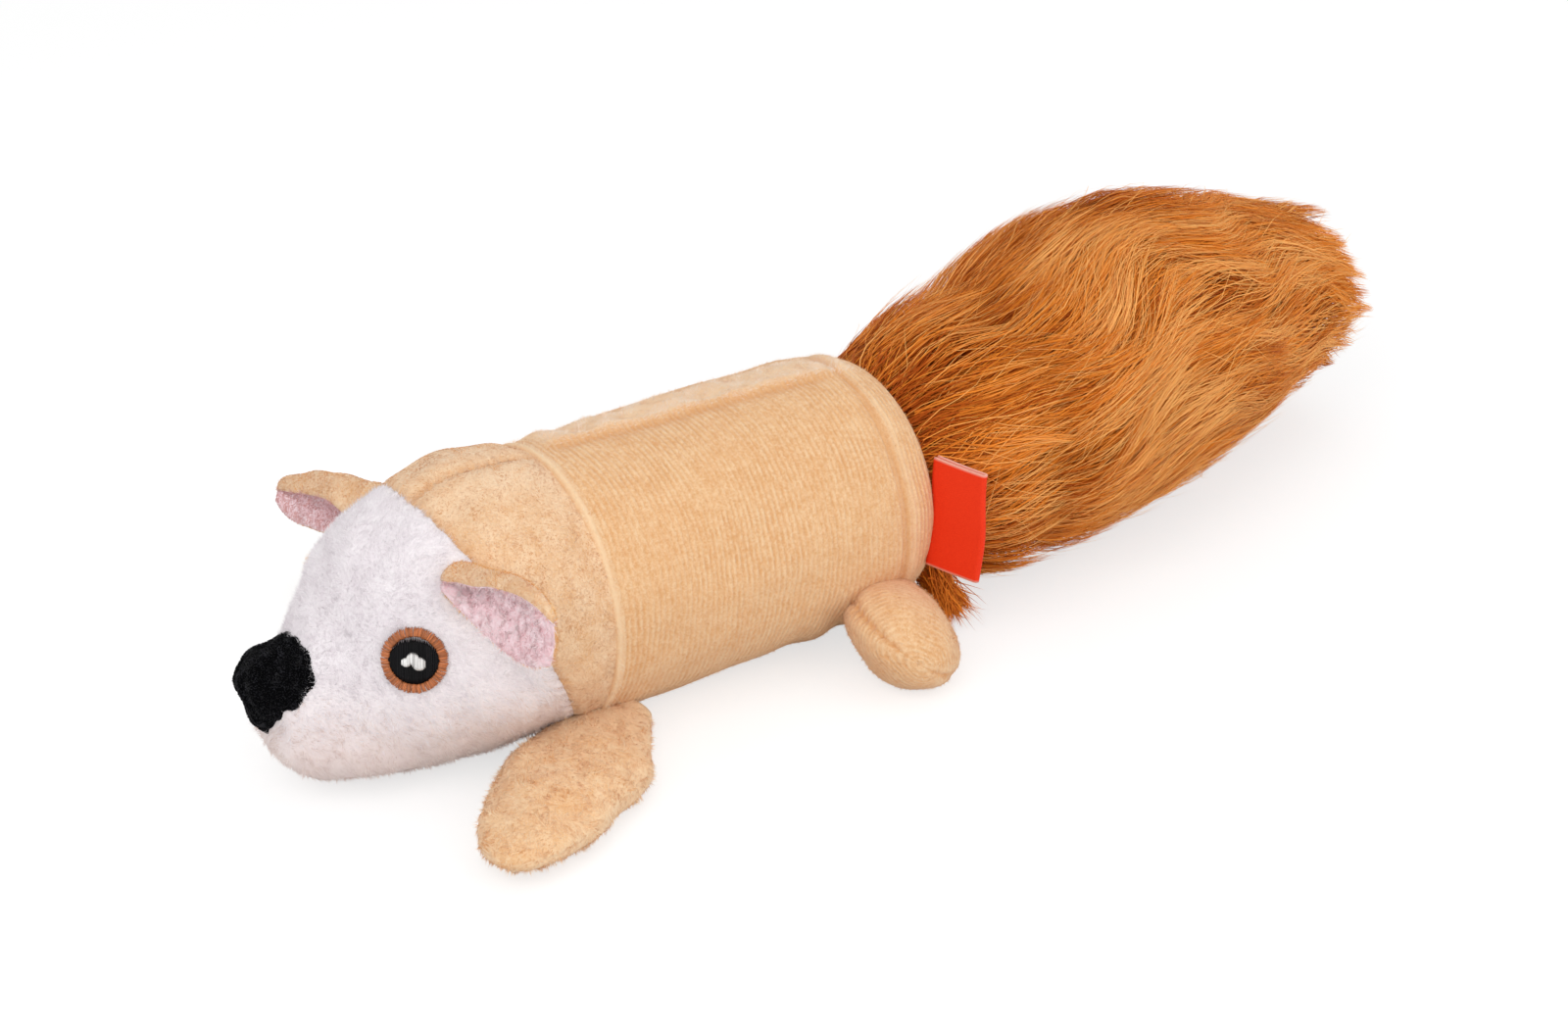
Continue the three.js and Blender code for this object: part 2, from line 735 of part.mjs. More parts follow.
// Everything under the seam that runs round the tail at half its height.
function belowTailSeam(shift) {
  const seam = tailStations().map(({ at }) => [at.y, at.z + shift]);
  const first = seam[0];
  const last = seam.at(-1);
  return sidePrism([
    [first[0] - overrun, -overrun],
    [last[0] + tailLength, -overrun],
    [last[0] + tailLength, last[1]],
    ...seam.reverse(),
    [first[0] - overrun, first[1]],
  ]);
}

const tail = tailForm();
const tailRoom = tailRoomForm();
const tailSkin = solidOf(tail).subtract(solidOf(tailRoom)).subtract(ground);
const tailBall = new THREE.SphereGeometry(tailBallRadius, 12, 8).translate(0, tailHinge, axisHeight);

add("tail_collar", tailCollar(), fur);
add("tail_root_gather", solidOf(tailBall), fur);
add("tail_fur_upper", tailSkin.subtract(belowTailSeam(clearance / 2)), fur);
add("tail_fur_lower", tailSkin.intersect(belowTailSeam(-clearance / 2)), fur);
add("tail_filling", solidOf(swollen(tailRoom, -clearance)), fibrefill);

// Tag: a ribbon folded on itself, cut edges in the seam

function foldedTag() {
  const half = tagFoldGap / 2;
  const outer = half + ribbon;
  const turnIn = tagReach - outer;
  const arc = (radius, from, to) =>
    Array.from({ length: 7 }, (_, i) => {
      const angle = radians(from + ((to - from) * i) / 6);
      return new THREE.Vector2(turnIn + radius * Math.cos(angle), radius * Math.sin(angle));
    });
  const outline = [
    new THREE.Vector2(0, -outer),
    ...arc(outer, -90, 90),
    new THREE.Vector2(0, outer),
    new THREE.Vector2(0, half),
    ...arc(half, 90, -90),
    new THREE.Vector2(0, -half),
  ];
  const shape = new THREE.Shape(outline);
  const tag = new THREE.ExtrudeGeometry(shape, { depth: tagWidth, bevelEnabled: false });
  tag.translate(0, 0, -tagWidth / 2).applyMatrix4(new THREE.Matrix4().makeBasis(Y, X.clone().negate(), Z));
  tag.rotateZ(radians(-tagFlare)).rotateX(radians(-tagTurn));
  return solidOf(tag.translate(tagPlace.x, tagPlace.y, tagPlace.z));
}

add("ribbon_tag", foldedTag(), redSatin);

// The part's origin is under the middle of its bounding box.
const bounds = new THREE.Box3().setFromObject(part);
const middle = bounds.getCenter(new THREE.Vector3());
part.children.forEach((mesh) => mesh.position.set(-middle.x, -middle.y, -bounds.min.z));

export default part;
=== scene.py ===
import math

import bpy
import numpy as np
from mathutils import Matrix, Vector
from numpy import arange, array, broadcast_to, clip, concatenate, cos, cross, cumsum, linspace, maximum, minimum
from numpy import ones_like, sin, stack, where, zeros
from numpy.linalg import norm


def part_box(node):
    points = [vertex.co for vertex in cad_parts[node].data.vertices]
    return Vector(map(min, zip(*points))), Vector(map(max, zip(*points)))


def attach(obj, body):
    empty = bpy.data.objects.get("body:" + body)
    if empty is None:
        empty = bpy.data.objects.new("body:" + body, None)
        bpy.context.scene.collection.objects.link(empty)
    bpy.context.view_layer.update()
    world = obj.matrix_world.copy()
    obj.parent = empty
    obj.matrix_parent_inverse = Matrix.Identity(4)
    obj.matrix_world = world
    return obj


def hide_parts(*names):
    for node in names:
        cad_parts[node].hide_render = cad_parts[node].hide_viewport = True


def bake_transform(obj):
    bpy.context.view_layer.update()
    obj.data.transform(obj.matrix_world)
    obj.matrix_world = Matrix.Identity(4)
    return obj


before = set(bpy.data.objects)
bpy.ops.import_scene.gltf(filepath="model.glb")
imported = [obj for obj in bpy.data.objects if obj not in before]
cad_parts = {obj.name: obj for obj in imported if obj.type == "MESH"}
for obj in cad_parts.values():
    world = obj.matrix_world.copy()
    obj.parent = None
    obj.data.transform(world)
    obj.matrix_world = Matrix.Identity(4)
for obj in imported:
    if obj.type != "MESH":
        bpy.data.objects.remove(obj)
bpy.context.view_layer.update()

# The toy's own frame, in millimetres: the origin is on the table under the middle of the neck seam,
# +x is the toy's left, +y runs to the tail and +z is up.
SLEEVE_LOW, SLEEVE_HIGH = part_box("body_sleeve")
ORIGIN = array([(SLEEVE_LOW.x + SLEEVE_HIGH.x) / 2, SLEEVE_LOW.y, 0.0])
MM = 0.001
TURN = 2 * np.pi
RADIUS = 31.0
AXIS = 30.5  # height of the body's axis
HEAD = 69.0  # from the neck seam to the end of the muzzle
TAIL_FROM, TAIL = 97.4, 152.0  # where the tail starts, and its length
TAIL_HALF = (45.0, 37.0)  # the tail's half width and half height
FUR_FROM = -0.07  # the share of the tail's length at which its form starts
CLEAR = 1.0  # short fuzz grows above this height only

random = np.random.default_rng(20)


def to_row(points):
    """Toy millimetres to row-frame metres."""
    return np.asarray(points, float) * MM + ORIGIN


# Curves and vectors


def unit(vectors):
    return vectors / maximum(norm(vectors, axis=-1, keepdims=True), 1e-12)


def through(knots, values, at):
    """Cubic curve through values at the knots, with each knot's slope taken from its neighbours."""
    knots, values, at = (np.asarray(numbers, float) for numbers in (knots, values, at))
    flat = values.reshape(len(knots), -1)
    slopes = np.gradient(flat, knots, axis=0)
    k = clip(np.searchsorted(knots, at.ravel(), "right") - 1, 0, len(knots) - 2)
    step = (knots[k + 1] - knots[k])[:, None]
    t = clip((at.ravel() - knots[k])[:, None] / step, 0, 1)
    value = flat[k] * (2 * t**3 - 3 * t**2 + 1) + flat[k + 1] * (3 * t**2 - 2 * t**3)
    value = value + slopes[k] * step * (t**3 - 2 * t**2 + t) + slopes[k + 1] * step * (t**3 - t**2)
    return value.reshape(at.shape + values.shape[1:])


def hump(distance, width):
    """1 at no distance, falling off smoothly within about the width."""
    return np.exp(-((distance / width) ** 2))


def ramp(value, low, high):
    """0 below low, 1 above high and smooth between them."""
    t = clip((value - low) / (high - low), 0, 1)
    return t * t * (3 - 2 * t)


def around(columns):
    """That many angles round a full turn."""
    return arange(columns) / columns * TURN


def raised(points, low):
    """Brings what is lower than that up to it."""
    points[..., 2] = maximum(points[..., 2], low)
    return points


class Ripple:
    """Smooth wandering values over space: a sum of sine waves in random directions."""

    def __init__(self, length, seed, waves=7):
        draw = np.random.default_rng(seed)
        way = unit(draw.normal(size=(waves, 3)))
        self.way = way * (TURN / (length * draw.uniform(0.7, 1.5, (waves, 1))))
        self.phase = draw.uniform(0, TURN, waves)
        self.share = 1 / math.sqrt(waves / 2)

    def __call__(self, points):
        return sin(points @ self.way.T + self.phase).sum(-1) * self.share


# Meshes


def add_object(name, data):
    thing = bpy.data.objects.new(name, data)
    bpy.context.scene.collection.objects.link(thing)
    return thing


def mesh_piece(name, points, face_sets, material, attribute=None, uv=None, smooth=True):
    """A mesh object from points in toy millimetres and arrays of faces, turned to face outward as a whole. The
    attribute is its name and three values for each point."""
    volume = 0.0
    for faces in face_sets:
        first, *others = (points[corner] for corner in faces.T)
        for second, third in zip(others, others[1:]):
            volume += np.einsum("ij,ij->", first, cross(second, third))
    if volume < 0:
        face_sets = [faces[:, ::-1] for faces in face_sets]
    corners = concatenate([faces.ravel() for faces in face_sets]).astype(np.int32)
    sizes = concatenate([np.full(len(faces), faces.shape[1]) for faces in face_sets])
    starts = concatenate([[0], cumsum(sizes)[:-1]]).astype(np.int32)
    mesh = bpy.data.meshes.new(name)
    mesh.vertices.add(len(points))
    mesh.vertices.foreach_set("co", to_row(points).astype(np.float32).ravel())
    mesh.loops.add(len(corners))
    mesh.loops.foreach_set("vertex_index", corners)
    mesh.polygons.add(len(sizes))
    mesh.polygons.foreach_set("loop_start", starts)
    mesh.polygons.foreach_set("use_smooth", np.full(len(sizes), smooth))
    mesh.update(calc_edges=True)
    if uv is not None:
        layer = mesh.uv_layers.new(name="OFBake")
        layer.uv.foreach_set("vector", uv.astype(np.float32)[corners].ravel())
    if attribute:
        layer = mesh.attributes.new(attribute[0], "FLOAT_COLOR", "POINT")
        layer.data.foreach_set("color", np.insert(attribute[1], 3, 1, axis=1).astype(np.float32).ravel())
    mesh.materials.append(material)
    return add_object(name, mesh)


def grid(rows, columns, closed=True):
    """Quads over rows of points that close on themselves, or don't."""
    r = arange(rows - 1)[:, None]
    c = arange(columns if closed else columns - 1)[None]
    d = (c + 1) % columns
    corners = [r * columns + c, r * columns + d, (r + 1) * columns + d, (r + 1) * columns + c]
    return stack([corner.ravel() for corner in corners], 1)


def stuffed(name, rings, look, body, replaced, ends=None, grain=None):
    """A closed padded piece through rings (rows, columns, 3), with a pole at each end. Gives its points and
    quads."""
    rows, columns = rings.shape[:2]
    poles = ends or (rings[0].mean(0), rings[-1].mean(0))
    points, quads = concatenate([rings.reshape(-1, 3), poles]), grid(rows, columns)
    c = arange(columns)
    d = (c + 1) % columns
    low = rows * columns
    last = low - columns
    caps = [stack([c * 0 + low, d, c], 1), stack([c * 0 + low + 1, last + c, last + d], 1)]
    piece = mesh_piece(name, points, [quads, concatenate(caps)], LOOKS[look], grain)
    declare(piece, body, replaced)
    return points, quads


def grained(rings, across, painted_light_and_pale_nap, deep):
    """The grain of a stuffed piece's points, with 0 at its poles: what velour reads."""
    values = [broadcast_to(value, rings.shape[:2]).ravel() for value in (across, painted_light_and_pale_nap, deep)]
    return "grain", concatenate([stack(values, 1), zeros((2, 3))])


def slab(outer, inner):
    """A closed sheet between two grids of points (rows, columns, 3)."""
    rows, columns = outer.shape[:2]
    count = rows * columns
    top = grid(rows, columns, False)
    number = arange(count).reshape(rows, columns)
    rim = concatenate([number[0, :-1], number[:-1, -1], number[-1, :0:-1], number[:0:-1, 0]])
    after = np.roll(rim, -1)
    sides = stack([after, rim, rim + count, after + count], 1)
    faces = concatenate([top, top[:, ::-1] + count, sides])
    return concatenate([outer.reshape(-1, 3), inner.reshape(-1, 3)]), [faces]


def vertex_normals(points, faces):
    """Unit normals at the points of a mesh of quads."""
    a, b, c, d = (points[corner] for corner in faces.T)
    flat = cross(c - a, d - b)
    total = np.zeros_like(points)
    for corner in faces.T:
        np.add.at(total, corner, flat)
    return unit(total)


def scatter(points, faces, count, keep):
    """count random places on a mesh of quads, spread evenly by area, with their normals."""
    normals = vertex_normals(points, faces)
    a, b, c, d = (points[corner] for corner in faces.T)
    area = norm(cross(c - a, d - b), axis=1)
    if keep:
        area = area * keep(points[faces].mean(1))
    face = random.choice(len(faces), count, p=area / area.sum())
    s, t = random.random((2, count, 1))
    weights = [(1 - s) * (1 - t), s * (1 - t), s * t, (1 - s) * t]
    place, facing = (sum(w * at[c] for w, c in zip(weights, faces[face].T)) for at in (points, normals))
    return place, unit(facing)


def strand_mesh(paths, widths, out, flat):
    """Points and faces of closed three-sided hairs. paths is (hairs, places, 3) with the tip last, and widths
    is (hairs, places - 1). One side of a hair faces out, and flat is its depth over its width."""
    hairs, places = paths.shape[:2]
    rings = places - 1
    along = unit(np.gradient(paths, axis=1)[:, :rings])
    aside = unit(cross(along, out))
    over = cross(aside, along) * flat
    angle = (1 + 4 * arange(3)) / 12 * TURN
    spread = cos(angle)[:, None] * aside[:, :, None] + sin(angle)[:, None] * over[:, :, None]
    ring = paths[:, :rings, None] + spread * widths[:, :, None, None] / 2
    points = concatenate([ring.reshape(hairs, -1, 3), paths[:, -1:]], 1)
    c = arange(3)
    last = 3 * (rings - 1)
    ends = concatenate([stack([last + c, last + (c + 1) % 3, c * 0 + 3 * rings], 1), [[0, 2, 1]]])
    first = (arange(hairs) * (3 * rings + 1))[:, None, None]
    sets = [(first + ends).reshape(-1, 3)]
    if rings > 1:
        sets.insert(0, (first + grid(rings, 3)).reshape(-1, 4))
    return points.reshape(-1, 3), sets


def strand_piece(name, paths, widths, out, warm, shade, colours, look, body, slot, replaced=(), flat=1.0):
    """Hairs whose colour runs over three colours by warm, (hairs, places) from 0 to 1, and gets brighter with
    shade, (hairs), from 0 to 1. The same two values place each point on the piece's map."""
    hairs, places = paths.shape[:2]
    points, sets = strand_mesh(paths, widths, out, flat)
    warm = clip(broadcast_to(warm, (hairs, places)), 0, 1)
    shade = clip(broadcast_to(np.reshape(shade, (-1, 1)), (hairs, places)), 0, 1)
    first, middle, last = (array(colour[:3]) for colour in colours)
    share = warm[..., None] * 2
    tint = where(share < 1, first + (middle - first) * share, middle + (last - middle) * (share - 1))
    tint = tint * (0.7 + 0.3 * shade[..., None])

    def on_points(values):
        return concatenate([np.repeat(values[:, :-1], 3, axis=1), values[:, -1:]], 1)

    uv = on_points(stack([warm, shade], -1)) * 0.97 + 0.01
    spread = np.tile([0, 0.006, 0.012], places - 1)
    uv[:, :-1, 1] += spread
    uv[:, :-1, 0] += spread[::-1] / 2
    tint = "tint", on_points(tint).reshape(-1, 3)
    piece = mesh_piece(name, points, sets, LOOKS[look], tint, uv.reshape(-1, 2), flat == 1.0)
    declare(piece, body, replaced)


# Materials


def add_node(tree, kind, inputs=(), **settings):
    """A node with its settings, and then the values or links of its sockets."""
    node = tree.nodes.new(kind)
    for label, value in settings.items():
        setattr(node, label, value)
    for label, value in dict(inputs).items():
        if isinstance(value, Number):
            tree.links.new(value.socket, node.inputs[label])
        else:
            node.inputs[label].default_value = value
    return node


class Number:
    """A socket of a node tree. Sums and products of it add Math nodes."""

    def __init__(self, socket):
        self.socket, self.tree = socket, socket.id_data

    def math(self, operation, *others):
        inputs = enumerate((self, *others))
        return Number(add_node(self.tree, "ShaderNodeMath", inputs, operation=operation).outputs[0])

    def __add__(self, other):
        return self.math("ADD", other)

    def __sub__(self, other):
        return self.math("SUBTRACT", other)

    def __mul__(self, other):
        return self.math("MULTIPLY", other)

    def between(self, low, high):
        """0 at low, 1 at high and smooth between them."""
        inputs = {"Value": self, "From Min": low, "From Max": high}
        node = add_node(self.tree, "ShaderNodeMapRange", inputs, interpolation_type="SMOOTHSTEP")
        return Number(node.outputs["Result"])


class Look:
    """A Principled material that is built up by its nodes."""

    def __init__(self, name, colour, roughness, **plain):
        self.material = bpy.data.materials.new(name)
        self.material.use_nodes = True
        self.tree = self.material.node_tree
        self.shader = next(n for n in self.tree.nodes if n.type == "BSDF_PRINCIPLED")
        plain = {"Base Color": colour, "Roughness": roughness, "Metallic": 0.0, **plain}
        for label, value in plain.items():
            self.shader.inputs[label.replace("_", " ")].default_value = value

    def node(self, kind, output, inputs=(), **settings):
        return Number(add_node(self.tree, kind, inputs, **settings).outputs[output])

    def stretched(self, vector, *by):
        return self.node("ShaderNodeVectorMath", "Vector", {0: vector, 1: by}, operation="MULTIPLY")

    def place(self):
        """Object coordinates, in millimetres."""
        return self.stretched(self.node("ShaderNodeTexCoord", "Object"), 1 / MM, 1 / MM, 1 / MM)

    def attribute(self, label):
        return self.node("ShaderNodeAttribute", "Color", attribute_name=label)

    def split(self, vector):
        return [Number(output) for output in add_node(self.tree, "ShaderNodeSeparateXYZ", {0: vector}).outputs]

    def noise(self, vector, size, detail=2.0, roughness=0.5):
        """Noise of about 0 to 1 whose features are about size across."""
        inputs = {"Vector": vector, "Scale": 1 / size, "Detail": detail, "Roughness": roughness}
        return self.node("ShaderNodeTexNoise", "Fac", inputs)

    def mixed(self, amount, first, second):
        return self.node("ShaderNodeMix", 2, {0: amount, 6: first, 7: second}, data_type="RGBA")

    def show(self, colour, height=None, strength=1.0, distance=0.3):
        self.tree.links.new(colour.socket, self.shader.inputs["Base Color"])
        if height:
            inputs = {"Height": height, "Strength": strength, "Distance": distance * MM}
            bump = self.node("ShaderNodeBump", "Normal", inputs)
            self.tree.links.new(bump.socket, self.shader.inputs["Normal"])
        return self.material


def rgb(red, green, blue):
    """An sRGB colour, 0 to 255, as the linear colour that sockets take."""
    channels = [c / 255 for c in (red, green, blue)]
    return [c / 12.92 if c <= 0.04045 else ((c + 0.055) / 1.055) ** 2.4 for c in channels] + [1.0]


def grey(level):
    return (level, level, level, 1)


PITCH = 1.36  # from wale to wale


def velour(name, light, base, deep, wales, mottle):
    """Short pile. Of the grain attribute the first value runs across the wales, in centimetres, the second is how much
    painted highlight and lighter nap go to the light colour, and the third how much painted shade goes to the deep
    colour."""
    look = Look(name, base, 0.92, Sheen_Weight=0.3, Sheen_Roughness=0.5, Specular_IOR_Level=0.12)
    place = look.place()
    across, painted_light_and_pale_nap, painted_shade = look.split(look.attribute("grain"))
    row = (across * (10.0 * TURN / PITCH)).math("SINE")
    broken = look.noise(place, 2.2).between(0.3, 0.66) * look.noise(place, 17.0, 1.0).between(0.3, 0.6)
    row = row * (broken * 0.8 + 0.2)
    fine = look.noise(place, 0.45, 3.0, 0.75)
    tuft = look.noise(place, 1.1, 1.0)
    soft = look.noise(place, 5.0, 2.0, 0.6)
    tone = row * (0.2 * wales) + (fine - 0.5) * 1.2 + (tuft - 0.5) * 0.6 + (soft - 0.5) * mottle + 0.5
    colour = look.mixed(tone.between(0.05, 0.95), deep, light)
    colour = look.mixed(0.3, colour, base)
    # Painted highlight, with lighter nap, goes to the light colour; painted shade in creases and grooves goes to the
    # deep colour.
    colour = look.mixed(painted_light_and_pale_nap, colour, light)
    colour = look.mixed(painted_shade, colour, deep)
    height = row * (0.4 * wales) + fine * 1.3 + tuft * 0.9
    return look.show(colour, height, 0.7, 0.35)


def plush(name, light, base, deep, size=0.7, sheen=0.35, specular=0.1, low=None):
    """Longer fuzz without wales. Its colour goes over to low towards the table, as painted warm shade."""
    look = Look(name, base, 0.95, Sheen_Weight=sheen, Sheen_Roughness=0.5, Specular_IOR_Level=specular)
    place = look.place()
    fine = look.noise(place, size, 3.0, 0.7)
    soft = look.noise(place, 6.0)
    tone = (fine - 0.5) * 0.9 + (soft - 0.5) * 0.6 + 0.5
    colour = look.mixed(tone.between(0.15, 0.85), deep, light)
    # Painted warm shade towards the table.
    if low:
        colour = look.mixed(look.split(place)[2].between(36.0, 6.0) * 0.8, colour, low)
    return look.show(colour, fine + soft * 1.5, 0.6, 0.4)


def fibre(name, roughness, sheen, specular):
    """Hairs that carry their own colour."""
    look = Look(name, grey(0.5), roughness, Sheen_Weight=sheen, Specular_IOR_Level=specular)
    return look.show(look.attribute("tint"))


# Each velour's light and deep colours give its tone, and also carry the painted highlight and painted shade that its
# grain lays on.
TAN = rgb(252, 219, 178), rgb(242, 192, 135), rgb(220, 154, 94)
NAPE = rgb(254, 226, 192), rgb(246, 206, 160), rgb(228, 174, 122)
PAW = rgb(255, 226, 188), rgb(248, 202, 148), rgb(232, 174, 118)
WHITE = rgb(250, 245, 247), rgb(246, 240, 243), rgb(236, 228, 232)
PINK = rgb(255, 240, 244), rgb(255, 230, 233), rgb(250, 214, 220)
BLACK = rgb(9, 9, 11), rgb(6, 6, 8), rgb(3, 3, 4)
FUR = rgb(176, 78, 8), rgb(244, 144, 44), rgb(255, 187, 106)
LOOKS = {
    "sleeve": velour("tan_velour_sleeve", *TAN, 1.0, 0.45),
    "nape": velour("tan_velour_nape", *NAPE, 0.0, 0.9),
    "paw": velour("tan_velour_paw", *PAW, 0.0, 0.9),
    # The white's low colour is painted warm shade on the lower face.
    "white": plush("white_plush", *WHITE, 0.8, low=rgb(240, 220, 214)),
    "pink": plush("pink_plush", *PINK),
    "black": plush("black_plush", *BLACK, 0.8, 0.0, 0.03),
    "fur_base": plush("fur_backing", FUR[1], rgb(170, 86, 30), FUR[0], 1.0, 0.1),
    "hair": fibre("tail_hair", 0.6, 0.0, 0.12),
    "fuzz": fibre("short_fuzz", 0.9, 0.2, 0.1),
    "dark_fuzz": fibre("dark_fuzz", 0.6, 0.0, 0.2),
    "thread": fibre("embroidery_thread", 0.42, 0.0, 0.45),
    "dark_thread": fibre("dark_thread", 0.55, 0.0, 0.12),
}


def declare(piece, body, replaced=()):
    """Hangs a piece under its body's empty and hides the nodes that it replaces. body may also be two bodies and two
    places, and then the piece is only fixed where it stands."""
    if isinstance(body, tuple):
        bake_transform(piece)
    else:
        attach(piece, body)
    if replaced:
        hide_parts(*replaced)


# Body

# Distances from the neck seam and radii along the sleeve, closed over both ends
BODY_PROFILE = [
    (0.3, 0), (0.3, 15), (0.3, 26), (0.1, 29.8), (0.2, 30.7), (0.6, 31.2), (1.1, 31.4), (1.7, 31.35),
    (2.6, 31.1), (5, 31), (8, 31), (40, 31), (70, 31), (73.5, 30.95), (75.5, 30.75),
    (77.2, 30.5), (79, 30.4), (80.6, 30.1), (82.6, 29.4), (84.7, 28.6), (86.5, 27.6), (87.6, 26.3),
    (88.2, 24.4), (88, 20), (87.6, 8), (87.6, 0),
]


def from_ridge(x, y):
    """How far to the left of the ridge, which slants over the top of the sleeve."""
    return x - (-3.0 + 6.0 * (y - 7) / 66)


def make_body():
    """A tube about the axis at height AXIS: its radius follows the profile, plus the wales, a ridge along the
    top, soft wrinkles, folds above the rear paws and a flat where it rests. The grain runs along the axis."""
    lengths = concatenate([[0], cumsum(norm(np.diff(BODY_PROFILE, axis=0), axis=1))])
    end = lengths[-1]
    at = concatenate([linspace(0.5, 29, 22), linspace(29.4, end - 22, 270), linspace(end - 21.5, end - 0.5, 22)])
    y, r = through(lengths, BODY_PROFILE, at).T[..., None]
    angle = around(210)
    x, z = r * sin(angle), AXIS + r * cos(angle)
    points = stack([x, broadcast_to(y, x.shape), z], -1)
    wave, crumple = Ripple(46, 3), Ripple(15, 4)
    across = y + 0.4 * Ripple(34, 5)(points) + 0.07 * Ripple(7, 6)(points)
    above = (z > AXIS) * ramp(y, 3, 8)
    off = from_ridge(x, y)
    ridge = hump(off, 1.3) * above * (1 - ramp(y, 74, 79))
    beyond = ramp(-off, -0.6, 1.6) * (1 - ramp(-off, 9, 15)) * above * (1 - ramp(y, 78, 84))
    under = hump(off - 2.2, 1.5) * above * (1 - ramp(y, 70, 77))
    height = 0.32 * wave(points) + 0.1 * crumple(points) + 0.85 * ridge - 0.35 * under
    height += 0.11 * (1 - clip(beyond, 0, 1)) * sin(across * TURN / PITCH) * ramp(y, 2, 5)
    height += beyond * (0.5 + 0.3 * Ripple(13, 7)(points))
    height -= 0.4 * hump(y - 77, 1.2)
    low = hump(z - 9, 9) * hump(y - 66, 13)
    height += 0.8 * low * sin(0.42 * y + 0.3 * z + 0.8 * wave(points))
    height += 0.35 * hump(y - 82, 4) * sin(angle * 9 + 2 * wave(points * 0.4))
    out = stack([sin(angle), 0 * angle, cos(angle)], -1)
    points = raised(points + out * (height * ramp(r, 24, 30))[..., None], 0.05)
    # Painted highlight on the neck seam roll, the ridge and the fold behind the rear crease, with lighter brushed nap
    # on the strip behind the ridge that is partly painted highlight; painted shade under the ridge and in the rear
    # crease.
    painted_light_and_pale_nap = 0.8 * hump(y - 1.1, 1.0) + 0.9 * beyond + 0.3 * ridge + 0.4 * hump(y - 79.5, 1.4)
    deep = 0.5 * under + 0.5 * hump(y - 77.2, 1.3)
    grain = grained(points, across / 10, clip(painted_light_and_pale_nap, 0, 0.8), clip(deep, 0, 0.6))
    nodes = "body_sleeve", "rear_panel", "body_filling_front", "body_filling_rear"
    ends = [0, y[0, 0], AXIS], [0, y[-1, 0], AXIS]
    return stuffed("velour_sleeve", points, "sleeve", "torso", nodes, ends=ends, grain=grain)


# Head

HEAD_STATIONS = [0, 0.1, 0.24, 0.41, 0.56, 0.66, 0.735, 0.81, 0.88, 0.94, 0.98, 1]
# Half width and top by body radius and diameter, bottom, narrowing
HEAD_SHAPE = [
    (1, 0.998, 0, 0), (1.02, 1.03, 0, 0), (1.03, 1.04, 0, 0), (0.99, 1, 0, 0.01),
    (0.89, 0.955, 0.008, 0.04), (0.78, 0.88, 0.02, 0.08), (0.65, 0.76, 0.03, 0.14), (0.54, 0.65, 0.045, 0.18),
    (0.46, 0.585, 0.075, 0.18), (0.36, 0.53, 0.14, 0.12), (0.22, 0.46, 0.22, 0), (0, 0.34, 0.34, 0),
]
THROAT_SEAM, CROWN_SEAM = 1.0, 31.0
SEAM_SLOPE = (CROWN_SEAM - THROAT_SEAM) / (2 * RADIUS)
HEM = 2.5  # how deep the edges turn in at the seams


def head_surface(y, angle):
    """Points of the head at distance y from the neck seam, negative to the nose, and an angle round it from the
    left side over the top. Each section is an ellipse that narrows towards its top."""
    y, angle = np.broadcast_arrays(y, angle)
    half, top, bottom, narrowing = np.moveaxis(through(HEAD_STATIONS, HEAD_SHAPE, -y / HEAD), -1, 0)
    high, low = 2 * RADIUS * top - 0.5, 2 * RADIUS * bottom - 0.5
    rise = sin(angle)
    x = half * RADIUS * cos(angle) * (1 - narrowing * rise)
    return stack([x, y, (high + low) / 2 + (high - low) / 2 * rise], -1)


def head_normal(y, angle):
    a, b = 0.3, 0.01
    along = head_surface(y + a, angle) - head_surface(y - a, angle)
    return unit(cross(along, head_surface(y, angle + b) - head_surface(y, angle - b)))


def seam_at(angle):
    """Where the slanting seam between face and nape crosses each angle."""
    y = 0 * angle - 15
    for _ in range(30):
        y = 0.5 * y + 0.5 * (-THROAT_SEAM - SEAM_SLOPE * head_surface(y, angle)[..., 2])
    return y


def head_detail(points, normals, seam):
    """Pulls the skin in at its seams, with a pucker at each stitch, and adds soft lumps and the far eye's seat."""
    x, y, z = np.moveaxis(points, -1, 0)
    off = y - seam
    back = ramp(z, 40, 50) * ramp(off, -1, 2)
    depth = -0.9 * hump(off, 1.4) * (1 + 0.5 * sin(x * 1.9 + z * 1.7))
    depth -= (1.1 + 0.45 * sin(y * 2.4)) * hump(x, 1.1) * back
    depth += 0.5 * hump(abs(x) - 4.5, 3.0) * back
    depth = depth + 0.28 * Ripple(17, 8)(points) + 0.07 * Ripple(7, 9)(points) - 0.9 * ramp(-off, -1, 4)
    depth -= 1.1 * ramp(-norm(points - eye_frame(-1)(*MIDDLE)[0], axis=-1), -EYE - 2.2, -EYE - 0.4)
    depth += 1.2 * np.exp(-(((points - [-8, -52, 37.5]) / 7) ** 2).sum(-1))
    return raised(points + normals * (depth * (1 - ramp(y, -4, 0)))[..., None], 0.06)


